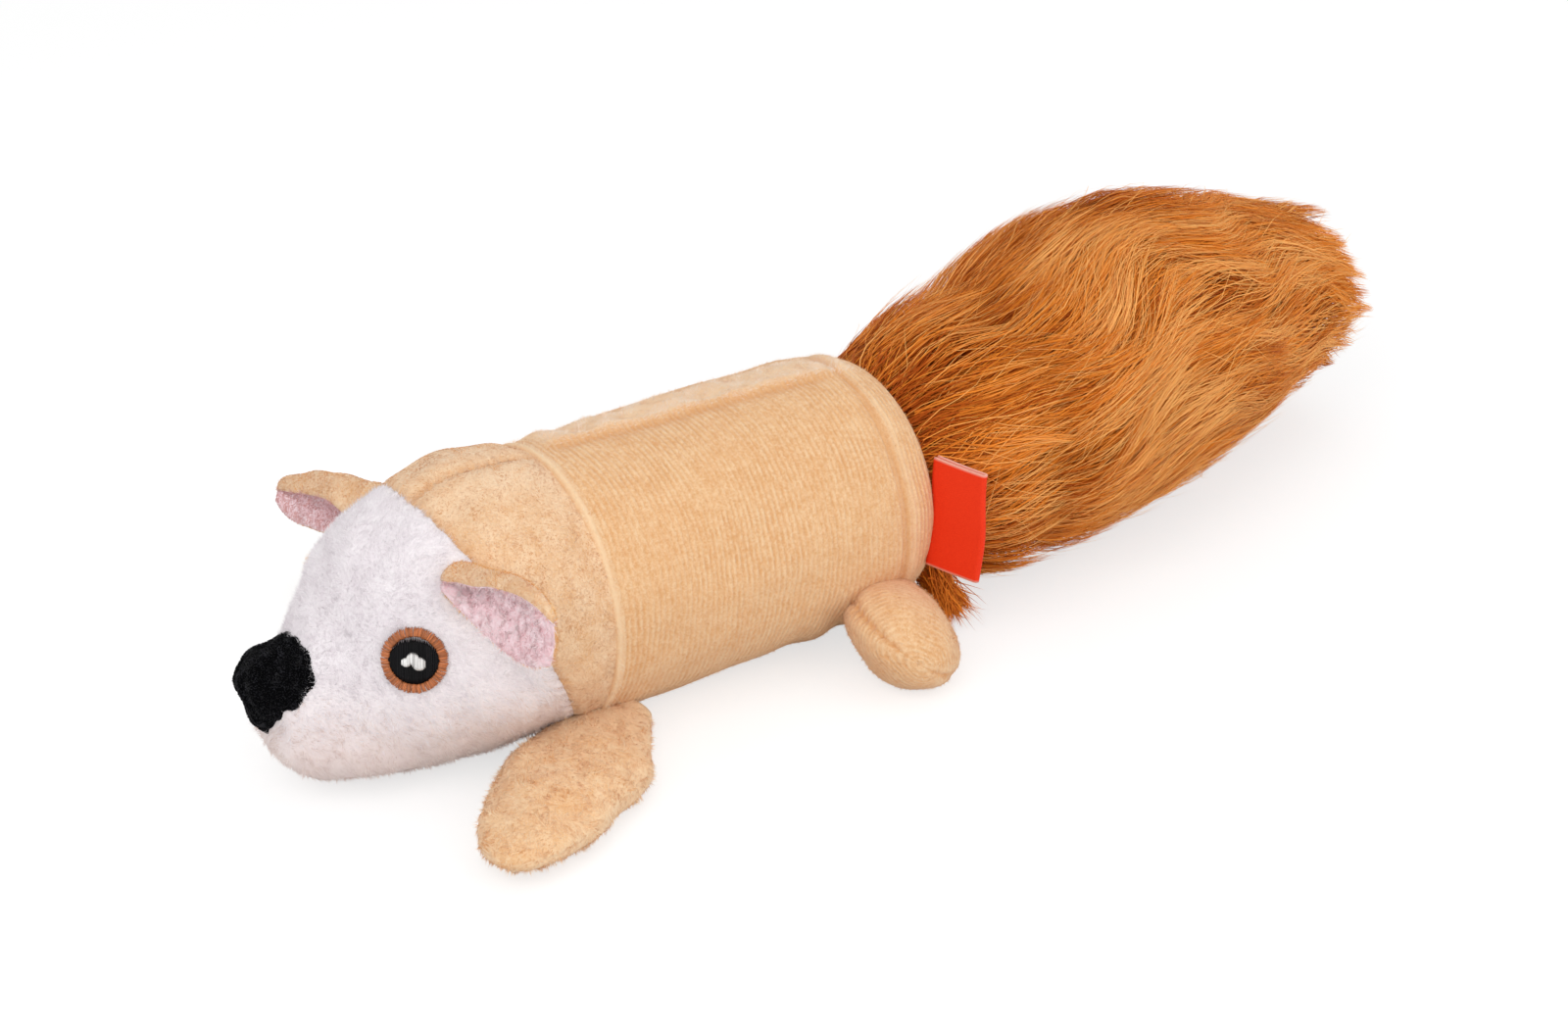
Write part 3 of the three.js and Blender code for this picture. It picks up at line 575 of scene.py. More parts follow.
def make_head():
    """The face and the nape, each a closed form whose edges turn in at the seams."""
    angle = around(240)
    seam = seam_at(angle)
    spots = {}
    for name, rows in (("face", 120), ("nape", 60)):
        t = linspace(0, 1, rows)[:, None]
        if name == "face":
            share = 1 - (1 - t) ** 1.35
            y = seam * (1 - share) + (-HEAD + 0.02) * share
        else:
            y = seam * (1 - t) + 1.1 * t
        normals = head_normal(minimum(y, -0.4), angle)
        outer = head_detail(head_surface(y, angle), normals, seam)
        inward = outer[:1] - normals[:1] * HEM
        if name == "face":
            rings = concatenate([inward, outer])
            ends = rings[0].mean(0), [0, -HEAD - 0.1, outer[-1, :, 2].mean()]
            nodes = "face_panel", "head_filling"
            spots[name] = stuffed("face_plush", rings, "white", "torso", nodes, ends=ends)
        else:
            rings = concatenate([inward + [0, 0.3, 0], outer, outer[-1:] - normals[-1:] * HEM])
            x, y, z = np.moveaxis(rings, -1, 0)
            high = ramp(z, 40, 50)
            # Painted shade in the crown seam's groove and along the face seam; lighter nap either side of the crown,
            # partly painted highlight.
            deep = 0.5 * hump(x, 1.0) * high + 0.35 * hump(y - seam, 1.6)
            grain = grained(rings, 0, 0.4 * hump(abs(x) - 8, 5) * high, clip(deep, 0, 0.7))
            nodes = "nape_panel_left", "nape_panel_right"
            spots[name] = stuffed("nape_velour", rings, "nape", "torso", nodes, grain=grain)
    return spots


# Nose

NOSE = array([0.0, 9.2 - HEAD - 2.5, 26.4])
NOSE_HALF = array([10.0, 9.8, 11.0])
NOSE_STATIONS = [-9.8, -9.4, -8.4, -6.2, -3, 0, 3.4, 6.8, 9.4]
# Half width, top and bottom from the nose's middle
NOSE_SHAPE = [
    (0.4, 2, 0.8), (3.6, 4.2, -2), (5.6, 5.8, -5), (7.4, 7.4, -8.2), (8.8, 8.8, -10.8), (9.4, 9.8, -13.2),
    (9.6, 10.4, -15.4), (9, 10.4, -15.6), (7.8, 9.2, -12.6),
]
NOSE_TAPER = 0.4


def make_nose():
    """A tapering form along y through its stations: each section is an ellipse that is wider above than below.
    It lies a little inside the stations, for its fuzz."""
    share = linspace(0, np.pi, 60)[:, None]
    first, last = NOSE_STATIONS[0], NOSE_STATIONS[-1]
    angle = around(90)
    y = (first + last) / 2 - cos(share) * (last - first) / 2 + 0 * angle
    half, top, bottom = np.moveaxis(through(NOSE_STATIONS, NOSE_SHAPE, y), -1, 0)
    inset = 0.5 * minimum(half / 4, 1)
    x = (half - inset) * cos(angle) * (1 + NOSE_TAPER * sin(angle))
    rings = NOSE + stack([x, y, (top + bottom) / 2 + ((top - bottom) / 2 - inset) * sin(angle)], -1)
    rings = rings + unit(rings - NOSE) * (0.35 * Ripple(5, 12)(rings))[..., None]
    return stuffed("nose_plush", rings, "black", "torso", ("nose_panel",))


# Fuzz


def make_fuzz(name, ground, count, size, nap, tints, keep=None, rise=0.6, stir=0.5, clump=7.0, body="torso",
              slot="tan_plush", look="fuzz"):
    """Short flat tapering hairs of a size, (length, width), on a mesh of quads. Each lies along the nap, rises
    from the cloth and strays at random and with a field that stirs the pile in clumps and changes its tone."""
    count = count
    root, normal = scatter(*ground, count, keep)
    field = stack([Ripple(clump, 60 + i)(root) for i in range(3)], -1)
    way = array(nap) + field * stir + random.normal(size=root.shape) * 0.35
    way = way - normal * (way * normal).sum(1, keepdims=True)
    way = unit(way + normal * rise * random.uniform(0.5, 1.5, (count, 1)))
    long = size[0] * random.uniform(0.55, 1.15, (count, 1))
    paths = raised(stack([root - normal * 0.15, root + way * long], 1), 0.4)
    widths = size[1] * random.uniform(0.7, 1.2, (count, 1))
    first, last = (array(rgb(*tint)) for tint in tints)
    warm = 0.5 + 0.2 * Ripple(clump * 0.7, 63)(root) + random.normal(size=count) * 0.22
    warm = warm[:, None] + [[-0.15, 0.15]]
    shade = 0.85 + random.normal(size=count) * 0.1
    out = normal[:, None] + random.normal(size=(count, 1, 3)) * 0.15
    colours = first, (first + last) / 2, last
    strand_piece(name, paths, widths, out, warm, shade, colours, look, body, slot, flat=0.35)


# Eyes

EYE, PUPIL = 7.2, 5.1
MIDDLE = zeros(1), zeros(1), 0.0


def eye_frame(sign):
    """A function that gives places on the head round an eye, by two distances from the eye's middle and a lift.
    The far eye sits lower and deeper, as the photograph has it hidden."""
    lower = 0.0 if sign > 0 else 1.0
    guess = array([0.758 * RADIUS * sign, -0.64 * HEAD + 2.0 * lower, 1.2 * RADIUS - 3.6 * lower])
    y, angle = linspace(-HEAD * 0.82, -HEAD * 0.44, 90)[:, None], linspace(-0.9, 1.6, 120)
    cloud, normal = (face(y, angle).reshape(-1, 3) * [sign, 1, 1] for face in (head_surface, head_normal))
    nearest = np.argmin(norm(cloud - guess, axis=-1))
    centre, out = cloud[nearest], normal[nearest]
    up = unit(array([0, 0, 1.0]) - out * out[2])
    side = cross(up, out)
    near = cloud - centre
    near = near[norm(near, axis=1) < 11]

    def terms(u, v):
        return stack([ones_like(u), u, v, u * u, u * v, v * v], -1)

    fit = np.linalg.lstsq(terms(near @ side, near @ up), near @ out, rcond=None)[0]

    def place(u, v, lift):
        height = terms(u, v) @ fit + lift - 1.1 * lower
        return centre + u[..., None] * side + v[..., None] * up + height[..., None] * out

    return place


def stitched(place, x, low_y, end_x, high_y, low, arch, width, places=7):
    """Threads between (x, low_y) and (end_x, high_y), which arch over the cloth."""
    starts, ends = stack([x, low_y], 1), stack([end_x, high_y], 1)
    t = linspace(0, 1, places)[None, :, None]
    flat = starts[:, None] * (1 - t) + ends[:, None] * t
    lift = low + arch * np.sqrt(clip(1 - (2 * t[..., 0] - 1) ** 2, 0, 1))
    lift = broadcast_to(lift, flat.shape[:2]) + random.normal(size=(len(flat), 1)) * 0.03
    paths = place(flat[..., 0], flat[..., 1], lift)
    return paths, broadcast_to(width, (len(flat), places - 1)) * random.uniform(0.9, 1.1, (len(flat), 1))


def make_eye(side, sign):
    """A ring of stitches from pupil to rim, a pupil of upright ones and a highlight of three lobes."""
    place = eye_frame(sign)
    threads = 132
    spin = arange(threads) / threads * TURN + random.normal(size=threads) * 0.012
    inner = PUPIL - 0.1 + random.normal(size=threads) * 0.07
    outer = EYE - 0.1 + random.normal(size=threads) * 0.08
    c, s = cos(spin), sin(spin)
    ring = stitched(place, c * inner, s * inner, c * outer, s * outer, -0.5, 0.75, 0.42)
    across = linspace(-PUPIL, PUPIL, 30)
    tall = np.sqrt(clip(PUPIL**2 - across**2, 0.2, None))
    x = across + random.normal(size=30) * 0.03
    pupil = stitched(place, x, -tall, x, tall, -0.35, 0.4, 0.5, 9)
    # Each lobe's place across and up, and its radius
    lobes = array([(-1.55 * sign, -0.2, 1.0), (-0.1, 0.6, 1.35), (1.15 * sign, -0.45, 1.45)])
    x = linspace(-2.6, 2.6, 20)[:, None]
    reach = lobes[:, 2] ** 2 - (x - lobes[:, 0]) ** 2
    inside = reach > 0.05
    kept = inside.any(1)
    tall = np.sqrt(maximum(reach, 0))
    low = where(inside, lobes[:, 1] - tall, np.inf).min(1)[kept]
    high = where(inside, lobes[:, 1] + tall, -np.inf).max(1)[kept]
    glint = stitched(place, x[kept, 0], low, x[kept, 0], high, 0.2, 0.35, 0.42, 6)
    facing = place(*MIDDLE[:2], 1.0) - place(*MIDDLE)
    for name, (paths, widths), tint, slot, look in (
        ("eye_ring_", ring, rgb(190, 112, 66), "copper_thread", "thread"),
        ("eye_pupil_", pupil, rgb(17, 16, 18), "black_thread", "dark_thread"),
        ("eye_glint_", glint, rgb(236, 234, 232), "white_thread", "thread"),
    ):
        colours = [array(tint) * share for share in (0.6, 0.95, 1.25)]
        name, warm = name + side, random.random((len(paths), 1))
        strand_piece(name + "_stitches", paths, widths, facing, warm, 1.0, colours, look, "torso", slot, (name,))


# Ears: a folded leaf through its lower edge, back, top and rim, each from its root to its tip

EAR_EDGES = {
    "left": [
        [(19.5, -35, 49.6), (33, -34.8, 47.4), (43, -34.5, 46.4), (53, -34.2, 47.2), (61, -33.8, 51)],
        [(20, -30.5, 50.5), (32, -30, 51.6), (42, -30.2, 53), (52, -31.2, 54.2), (61.2, -32.8, 56)],
        [(17, -29.6, 52), (31, -30.4, 56.4), (41, -30.6, 60.2), (51, -31.2, 61.6), (60, -32.2, 60.2)],
        [(19, -34.4, 51.4), (32.4, -34, 56), (44, -33.6, 60.2), (53.4, -33.3, 61.6), (61.2, -33, 60.4)],
    ],
    "right": [
        [(-20, -36, 47), (-28, -36, 42.2), (-37, -36, 39.4), (-45, -36, 38), (-50.8, -35.8, 39.6)],
        [(-18, -30.5, 49.5), (-28, -30, 46.4), (-37, -30.5, 44.2), (-44.5, -32, 42.4), (-51.4, -34.8, 41.4)],
        [(-14, -29.5, 56.4), (-28, -30.8, 53), (-38, -31.4, 49.4), (-45.6, -32.2, 46), (-51.6, -34, 43)],
        [(-17, -36, 50.6), (-26.5, -36.2, 50.8), (-35.6, -36, 48), (-44, -35.8, 44.8), (-50.8, -35.4, 42.2)],
    ],
}


def make_ear(side, sign):
    """The leaf's section runs from its lower edge round the back and over the top to the rim. Its back is tan
    and its lining pink."""
    rows, columns = 44, 40
    t, s = linspace(0, 1, rows), linspace(0, 1, columns)
    lines = [through(linspace(0, 1, 5), edge, t) for edge in EAR_EDGES[side]]
    leaf = stack([through([0, 0.42, 0.74, 1], [line[i] for line in lines], s) for i in range(rows)])
    faces = grid(rows, columns, False)
    normal = vertex_normals(leaf.reshape(-1, 3), faces).reshape(leaf.shape)
    if (normal * (leaf.mean(1, keepdims=True) - leaf)).sum() > 0:
        normal = -normal
    leaf = leaf + normal * (0.15 * Ripple(11, 21 if side == "left" else 22)(leaf))[..., None]
    edge = clip(1 - abs(2 * s - 1) ** 5, 0, 1)[None, :, None] ** 0.5
    edge = edge * clip(1 - t**12, 0, 1)[:, None, None] ** 0.5
    back, seam, lining = leaf + normal * (0.1 + 1.35 * edge), leaf - normal * 0.05, leaf - normal * (0.1 + 1.3 * edge)
    body = "ear_" + side
    for name, outer, inner, look, slot in (
        ("ear_back_", back, seam, "nape", "tan_plush"),
        ("ear_lining_", seam - normal * 0.02, lining, "pink", "pink_plush"),
    ):
        piece = mesh_piece(name + "plush_" + side, *slab(outer, inner), LOOKS[look])
        declare(piece, body, (name + side,))
    make_fuzz("ear_back_fuzz_" + side, (back.reshape(-1, 3), faces), 6000, (1.1, 0.17), (sign, 0, 0),
              ((232, 168, 106), (255, 216, 158)), body=body)
    # The far ear's lining fuzz is darker and redder than the near one's: a copy of the same pink with painted shade.
    tints = ((252, 210, 214), (255, 246, 246)) if sign > 0 else ((230, 172, 168), (248, 208, 206))
    make_fuzz("ear_lining_fuzz_" + side, (lining.reshape(-1, 3), faces[:, ::-1]), 7000, (1.8, 0.19),
              (sign, 0, 0.3), tints, None, 0.5, 0.6, 3.0, body, "pink_plush")


# Paws


def make_paw(place, side, root, tip, half, rise, roll, look, groove, root_share=0.62, widest=0.58):
    """A flat stuffed pod from root to tip: two panels sewn round its edge, which is pulled in and puckered."""
    name = f"{place}_paw_{side}"
    root, tip = array(root, float), array(tip, float)
    way = tip - root
    forward = unit(way)
    level = unit(cross([0, 0, 1.0], forward))
    tilt = math.radians(-roll if side == "left" else roll)
    across = level * math.cos(tilt) + cross(forward, level) * math.sin(tilt)
    lift = cross(forward, across)
    psi = linspace(0, np.pi / 2, 50)[1:-1]
    t = concatenate([linspace(0, widest, 32), widest + (1 - widest) * sin(psi)])[:, None]
    size = concatenate([root_share + (1 - root_share) * sin(linspace(0, 1, 32) * np.pi / 2), cos(psi)])[:, None]
    angle = around(110)
    length = norm(way)
    lump, dent = Ripple(13, 30 + len(name)), Ripple(5, 31 + len(name))
    corner = 0.16 * hump(t - 0.33, 0.15) * (cos(angle) > 0) if look == "paw" else 0 * t
    width = half * cos(angle) * (1 + corner)
    tall = rise * sin(angle) * abs(sin(angle)) ** 0.06
    rings = root + t[..., None] * way + size[..., None] * (width[..., None] * across + tall[:, None] * lift)
    normal = unit((cos(angle) / half)[:, None] * across + (sin(angle) / rise)[:, None] * lift)
    depth = -groove * hump(sin(angle), 0.16) * (1 + 0.4 * sin(t * length * 2.6))
    depth = depth + 0.25 * lump(rings) + 0.04 * dent(rings)
    rings = raised(rings + normal * (depth * minimum(size * 1.6, 1))[..., None], 0.08)
    steps = np.hypot(np.diff(t[:, 0] * length), np.diff(size[:, 0] * half))
    run = concatenate([[0], cumsum(steps)])[:, None] + 0.4 * lump(rings * 1.3)
    # Painted sheen in bands beside the seam; on the front paws painted highlight along the edges and painted light at
    # the root against the head's shadow; painted shade in the seam's groove.
    painted_light_and_pale_nap = 0.35 * hump(abs(sin(angle)) - 0.32, 0.14)
    if look == "paw":
        painted_light_and_pale_nap = clip(0.6 * hump(sin(angle), 0.4) + 0.5 * ramp(-t, -0.4, 0), 0, 0.8)
    grain = grained(rings, run / 10, painted_light_and_pale_nap, 0.5 * groove * hump(sin(angle), 0.09))
    nodes = [f"{place}_paw_{part}_{side}" for part in ("upper", "lower", "filling")]
    ground = stuffed(name, rings, look, name, nodes, (root, tip), grain)
    count, long, stir = (9000, 1.9, 0.8) if look == "paw" else (5000, 0.9, 0.4)
    make_fuzz(name + "_fuzz", ground, count, (long, 0.2), forward, ((228, 168, 110), (255, 232, 198)),
              lambda middle: middle[:, 2] > CLEAR, 0.5, stir, 6.0, name)


# Tail

TAIL_STATIONS = [FUR_FROM, 0, 0.06, 0.12, 0.18, 0.27, 0.39, 0.52, 0.65, 0.77, 0.87, 0.95, 1.0]
# Half width, half height, rise over the axis, drift
TAIL_SHAPE = array([
    (0.6, 0.73, 0.02, 0), (0.68, 0.79, 0.03, 0), (0.77, 0.85, 0.05, 0), (0.83, 0.89, 0.08, 0),
    (0.87, 0.92, 0.11, -0.01), (0.91, 0.95, 0.15, -0.05), (0.93, 0.99, 0.19, -0.13), (0.88, 0.97, 0.2, -0.21),
    (0.77, 0.87, 0.15, -0.3), (0.645, 0.74, 0.1, -0.355), (0.5, 0.6, 0.05, -0.39), (0.34, 0.4, 0.02, -0.41),
    (0.1, 0.14, 0.01, -0.44),
])
BROAD, CLOSE = Ripple(55, 51, 5), Ripple(21, 52, 6)
BLUNT = 0.84  # the share of the length from which the end is drawn out less


def tail_surface(share, angle, inset, section=None):
    """Points of the tail at a share of its length and an angle round it, inset under its outer surface."""
    section = share if section is None else section
    share, angle, inset, section = np.broadcast_arrays(share, angle, inset, section)
    half, rise, climb, drift = np.moveaxis(through(TAIL_STATIONS, TAIL_SHAPE, section), -1, 0)
    a = maximum(half * TAIL_HALF[0] - inset, 1.5)
    b = maximum(rise * TAIL_HALF[1] - inset, 1.5)
    x = drift * TAIL_HALF[0] + a * cos(angle)
    return stack([x, TAIL_FROM + share * TAIL, AXIS + climb * TAIL_HALF[1] + b * sin(angle)], -1)


def tail_size(share):
    """The tail's mean half width, over which hairs turn round it."""
    return maximum(through(TAIL_STATIONS, TAIL_SHAPE[:, 0], share) * 38, 10)


def backing_depth(share):
    """How deep the backing lies under the fur's surface: it narrows to the gather behind the body."""
    return through([FUR_FROM, 0, 0.06, 0.13, 0.2, 1], [25, 22, 15, 12, 11, 11], share)


def make_tail_core():
    """The backing cloth under the fur, as one closed form."""
    share = linspace(0.0, 0.82, 60)[:, None]
    rings = raised(tail_surface(share, around(70), backing_depth(share)), 0.4)
    ends = rings[0].mean(0), rings[-1].mean(0) + [0, 3, 0]
    nodes = "tail_fur_upper", "tail_fur_lower", "tail_filling"
    stuffed("tail_backing", rings, "fur_base", "tail", nodes, ends)


def combed(at, turn, length, depth, lift, wave, own, places):
    """Hairs that leave the backing at depth, rise to the surface and are combed along it. Their way wanders with
    two fields over the tail, with their lock's wave, (strength, length, phase), and by their own angle."""
    steps = places - 1
    ats, turns = [at], [turn]
    for i in range(steps):
        inside = clip(at, FUR_FROM, 1)
        spot = tail_surface(inside, turn, 0)
        bend = 0.2 * BROAD(spot) + 0.14 * CLOSE(spot) + wave[0] * sin(length * i / steps / wave[1] * TURN + wave[2])
        bend = bend + 0.3 * (1 - 1.7 * inside) * ramp(cos(turn), -0.6, 0.6) + own
        at = at + cos(bend) * length / steps / TAIL
        turn = turn + sin(bend) * length / steps / tail_size(inside)
        ats.append(at)
        turns.append(turn)
    ats, turns = stack(ats, 1), stack(turns, 1)
    # Past BLUNT the hairs close in less than the form does.
    section = clip(where(ats < BLUNT, ats, BLUNT + 0.6 * (ats - BLUNT)), FUR_FROM, 1)
    s = linspace(0, 1, places)[None]
    paths = tail_surface(ats, turns, depth[:, None] * (1 - s) ** 1.6 - lift[:, None] * s**1.5, section)
    out = paths - tail_surface(ats, turns, 1000, section)
    return paths, out + random.normal(size=paths.shape) * 0.3 * norm(out, axis=-1, keepdims=True)


FINE = [1.0, 1.15, 1.1, 1.0, 0.75]  # a hair's width from its root on


def make_tail_fur(name, hairs, locks, low, high, length, sunk=6.0, body="tail", replaced=()):
    """Fur in locks: the hairs of a lock share a wave, a tone and a depth, and close up towards their tips. The
    deepest locks are sunk by that many millimetres."""
    uniform, normal = random.uniform, random.normal
    lock_share = uniform(low, high, locks)
    lock_angle = uniform(0, TURN, locks)
    order = random.integers(0, locks, hairs)
    at = clip(lock_share[order] + normal(size=hairs) * 0.02, low - 0.005, high)
    turn = lock_angle[order] + normal(size=hairs) * 3.2 / tail_size(at)
    wave = [uniform(least, most, locks)[order] for least, most in ((0.03, 0.25), (18, 34), (0, TURN))]
    long = length * uniform(0.6, 1.2, hairs)
    end = (-5 - 13 * random.random(locks) ** 1.3)[order] + normal(size=hairs)
    long = clip(long, 5, (1.0 - at) * TAIL + end)
    depth = uniform(1.5, 9, hairs) if replaced else backing_depth(at) - 1
    lock_lift = -sunk * random.random(locks) ** (1.5 if sunk < 10 else 0.8)
    lift = lock_lift[order] + 1.2 + normal(size=hairs) * 0.45
    stray = random.random(hairs) < 0.06
    lift = where(stray, uniform(-0.5, 2.0, hairs), lift)
    if replaced:
        # Behind the tag the hairs lie lower, so that fewer go through it as the tail swings.
        lift = lift - 3.0 * ramp(cos(turn), 0.75, 0.95)
    own = normal(size=locks)[order] * 0.15 + normal(size=hairs) * where(stray, 0.3, 0.07)
    places = 6
    paths, out = combed(at, turn, long, depth, lift, wave, own, places)
    gather, number = zeros((locks, places, 3)), zeros(locks)
    np.add.at(gather, order, paths)
    np.add.at(number, order, 1)
    gather /= maximum(number, 1)[:, None, None]
    s = linspace(0, 1, places)
    pull = s**1.2 * where(stray, 0, uniform(0.45, 0.85, hairs))[:, None]
    paths = raised(paths + (gather[order] - paths) * pull[..., None], 0.4 + random.random((hairs, 1)))
    widths = uniform(0.16, 0.34, (hairs, 1)) * where(stray, 0.6, 1)[:, None] * FINE
    tone = 0.5 + normal(size=locks)[order] * 0.2 + normal(size=hairs) * 0.18
    # Painted shade: sunk locks are darker, and each hair darkens towards its root, where it lies under the others.
    tone = tone + 0.08 * maximum(lock_lift[order] + 2.0, -3) + 0.1 * BROAD(paths[:, 3])
    warm = where(stray, 0.95, tone)[:, None] - 0.35 * (1 - s) ** 1.5 + 0.12 * s
    shade = 0.8 + normal(size=hairs) * 0.2
    most = 6000
    for part, first in enumerate(range(0, hairs, most)):
        laid = [values[first : first + most] for values in (paths, widths, out[:, :-1], warm, shade)]
        strand_piece(f"{name}_{part}", *laid, FUR, "hair", body, "orange_fur", replaced, 0.45)


def make_tuft(body):
    """A lock that hangs behind the rear paw: hairs on curves from a small patch to a wider one, lower down."""
    hairs, places = 1300, 6
    start, end, bulge = (
        array(place) + random.normal(size=(hairs, 1, 3)) * spread
        for place, spread in (
            ((21, 90.5, 15), [2.4, 1.6, 2.5]),
            ((25, 93.5, 4), [2.4, 3.2, 1.6]),
            ((27, 91, 12), [1.5, 2.2, 2.0]),
        )
    )
    t = linspace(0, 1, places)[None, :, None]
    paths = start * (1 - t) ** 2 + bulge * 2 * t * (1 - t) + end * t**2
    raised(paths, 0.5 + random.random((hairs, 1)))
    widths = random.uniform(0.16, 0.32, (hairs, 1)) * FINE
    # The tuft is kept dark and grows lighter towards its ends: painted shade where it hangs behind the paw.
    warm = 0.15 + random.normal(size=(hairs, 1)) * 0.15 + 0.15 * t[..., 0]
    shade = 0.75 + random.normal(size=hairs) * 0.2
    out = array([1, 0, 0.4])
    strand_piece("tail_tuft", paths, widths, out, warm, shade, FUR, "hair", body, "orange_fur", (), 0.45)


# Tag


def turned(a, b, angle):
    """Two coordinates after a turn from the first axis towards the second."""
    c, s = math.cos(angle), math.sin(angle)
    return a * c - b * s, a * s + b * c


def make_tag():
    """A ribbon folded on itself: a narrow loop swept along the width of the ribbon."""
    reach, inside_seam, thick, gap, width = 11.0, 2.5, 0.5, 0.8, 25.0
    half = gap / 2 + thick / 2
    bend = linspace(-np.pi / 2, np.pi / 2, 13)
    low = stack([linspace(-inside_seam, reach - half - thick, 18), np.full(18, -half)], 1)
    arc = stack([reach - half - thick / 2 + half * cos(bend), half * sin(bend)], 1)
    line = concatenate([low, arc[1:-1], low[::-1] * [1, -1]])
    way = unit(np.gradient(line, axis=0))
    side = stack([way[:, 1], -way[:, 0]], 1)
    across = linspace(-width / 2, width / 2, 40)
    wave = Ripple(20, 41)

    def laid(flat):
        x, y = turned(-flat[:, 1], flat[:, 0], math.radians(-72))
        y, z = turned(y, across[:, None], math.radians(-8))
        x = x - 2.5 * ramp(across, -4, 13)[:, None]
        points = stack([x, y, z], -1) + [29.8, 88.2, 32.9]
        points[..., 1] += 0.2 * wave(points)
        return points

    solid, sets = slab(laid(line + side * thick / 2), laid(line - side * thick / 2))
    edge = zeros((len(solid), 3))
    near = clip(1 - (width / 2 - abs(across)) / 0.45, 0, 1)
    edge[:, 0] = np.tile(np.repeat(near, len(line)), 2)
    look = Look("red_satin", rgb(234, 54, 20), 0.6, Specular_IOR_Level=0.15)
    weave = look.noise(look.stretched(look.place(), 1, 1, 6), 0.35)
    colour = look.mixed(weave.between(0.3, 0.7), rgb(226, 46, 14), rgb(242, 62, 26))
    colour = look.mixed(look.split(look.attribute("edge"))[0], colour, rgb(244, 178, 160))
    look.show(colour, weave, 0.35, 0.1)
    piece = mesh_piece("ribbon_tag_satin", solid, sets, look.material, ("edge", edge))
    declare(piece, "tag", ("ribbon_tag",))


# Camera, floor and light


def set_up(name, data, place, way):
    """A camera or a lamp at a place, looking along a vector."""
    thing = add_object(name, data)
    thing.location = to_row(place)
    thing.rotation_mode = "QUATERNION"
    thing.rotation_quaternion = Vector(way).to_track_quat("-Z", "Y")
    return thing


def make_camera():
    azimuth, elevation = math.radians(54.84), math.radians(28.5)
    level = -math.cos(elevation)
    way = (math.sin(azimuth) * level, -math.cos(azimuth) * level, -math.sin(elevation))
    data = bpy.data.cameras.new("camera")
    data.sensor_width = 36
    data.lens = data.sensor_width / 2 / math.tan(math.radians(24) / 2)
    data.clip_start, data.clip_end = 0.05, 10
    bpy.context.scene.camera = set_up("camera", data, (598.9, -356.5, 424.3), way)


def make_lights():
    for name, place, size, power in (
        ("key", (350, -500, 600), 0.7, 2.6),
        ("fill", (650, 380, 300), 0.9, 2.0),
        ("top", (-100, 300, 800), 0.9, 0.8),
    ):
        data = bpy.data.lights.new(name, "AREA")
        data.shape, data.size, data.energy = "DISK", size, power
        set_up(name, data, place, array([0, 60, 25]) - place)


def seen_rays(tree):
    """1 for rays that show the background: from the camera, in gloss and through glass."""
    rays = add_node(tree, "ShaderNodeLightPath").outputs
    camera, gloss, glass = (Number(rays[f"Is {kind} Ray"]) for kind in ("Camera", "Glossy", "Transmission"))
    return (camera + gloss + glass).math("MINIMUM", 1.0)


def make_stage():
    half = 2.5
    mesh = bpy.data.meshes.new("floor")
    mesh.from_pydata([(-half, -half, 0), (half, -half, 0), (half, half, 0), (-half, half, 0)], [], [(0, 1, 2, 3)])
    look = Look("floor_white", grey(0.8), 0.9, Specular_IOR_Level=0.0, Emission_Strength=1.0)
    seen = seen_rays(look.tree)
    look.show(look.mixed(seen, grey(0.8), grey(0.4)))
    glow = look.mixed(seen, grey(0), grey(0.68))
    look.tree.links.new(glow.socket, look.shader.inputs["Emission Color"])
    mesh.materials.append(look.material)
    add_object("floor", mesh)
    world = bpy.data.worlds.new("studio")
    bpy.context.scene.world = world
    world.use_nodes = True
    tree = world.node_tree
    plain = next(n for n in tree.nodes if n.type == "BACKGROUND")
    plain.inputs["Color"].default_value = grey(1)
    plain.inputs["Strength"].default_value = 0.6
    white = add_node(tree, "ShaderNodeBackground", {"Color": grey(1), "Strength": 1.0})
    shown = {0: seen_rays(tree), 1: Number(plain.outputs[0]), 2: Number(white.outputs[0])}
    output = next(n for n in tree.nodes if n.type == "OUTPUT_WORLD")
    tree.links.new(add_node(tree, "ShaderNodeMixShader", shown).outputs[0], output.inputs[0])
    bpy.context.scene.view_settings.view_transform = "Standard"


make_camera()
make_stage()
make_lights()
sleeve = make_body()
spots = make_head()
nose = make_nose()
for side, sign in (("left", 1), ("right", -1)):
    make_eye(side, sign)
    make_ear(side, sign)
for side, sign, root, tip in (
    ("left", 1, (19.5, 7.3, 5), (58.8, -44.4, 6.8)),
    ("right", -1, (-20, 7, 5), (-78, -13.2, 6.8)),
):
    make_paw("front", side, root, tip, 14.4, 7.3, 0, "paw", 0.3, 0.56, 0.5)
    make_paw("rear", side, (sign * 17, 80.5, 8.5), (sign * 50, 66, 12), 14, 10, 38, "sleeve", 1.0)
make_tag()
make_tail_core()


def shows_face(middle):
    """0 where fuzz on the face would grow through the nose, the eyes or the table."""
    eyes = [eye_frame(sign)(*MIDDLE)[0] for sign in (1, -1)]
    clear = np.min([norm(middle - eye, axis=1) for eye in eyes], axis=0) > EYE - 0.3
    return clear & (norm((middle - NOSE) / NOSE_HALF, axis=1) > 0.85) & (middle[:, 2] > CLEAR)


def on_face(middle, low=14, high=30):
    return shows_face(middle) * ramp(middle[:, 2], low, high)


# Where the face's fuzz takes painted warm shade, towards the table.
def on_shaded_chin(middle):
    return on_face(middle, 30, 14)


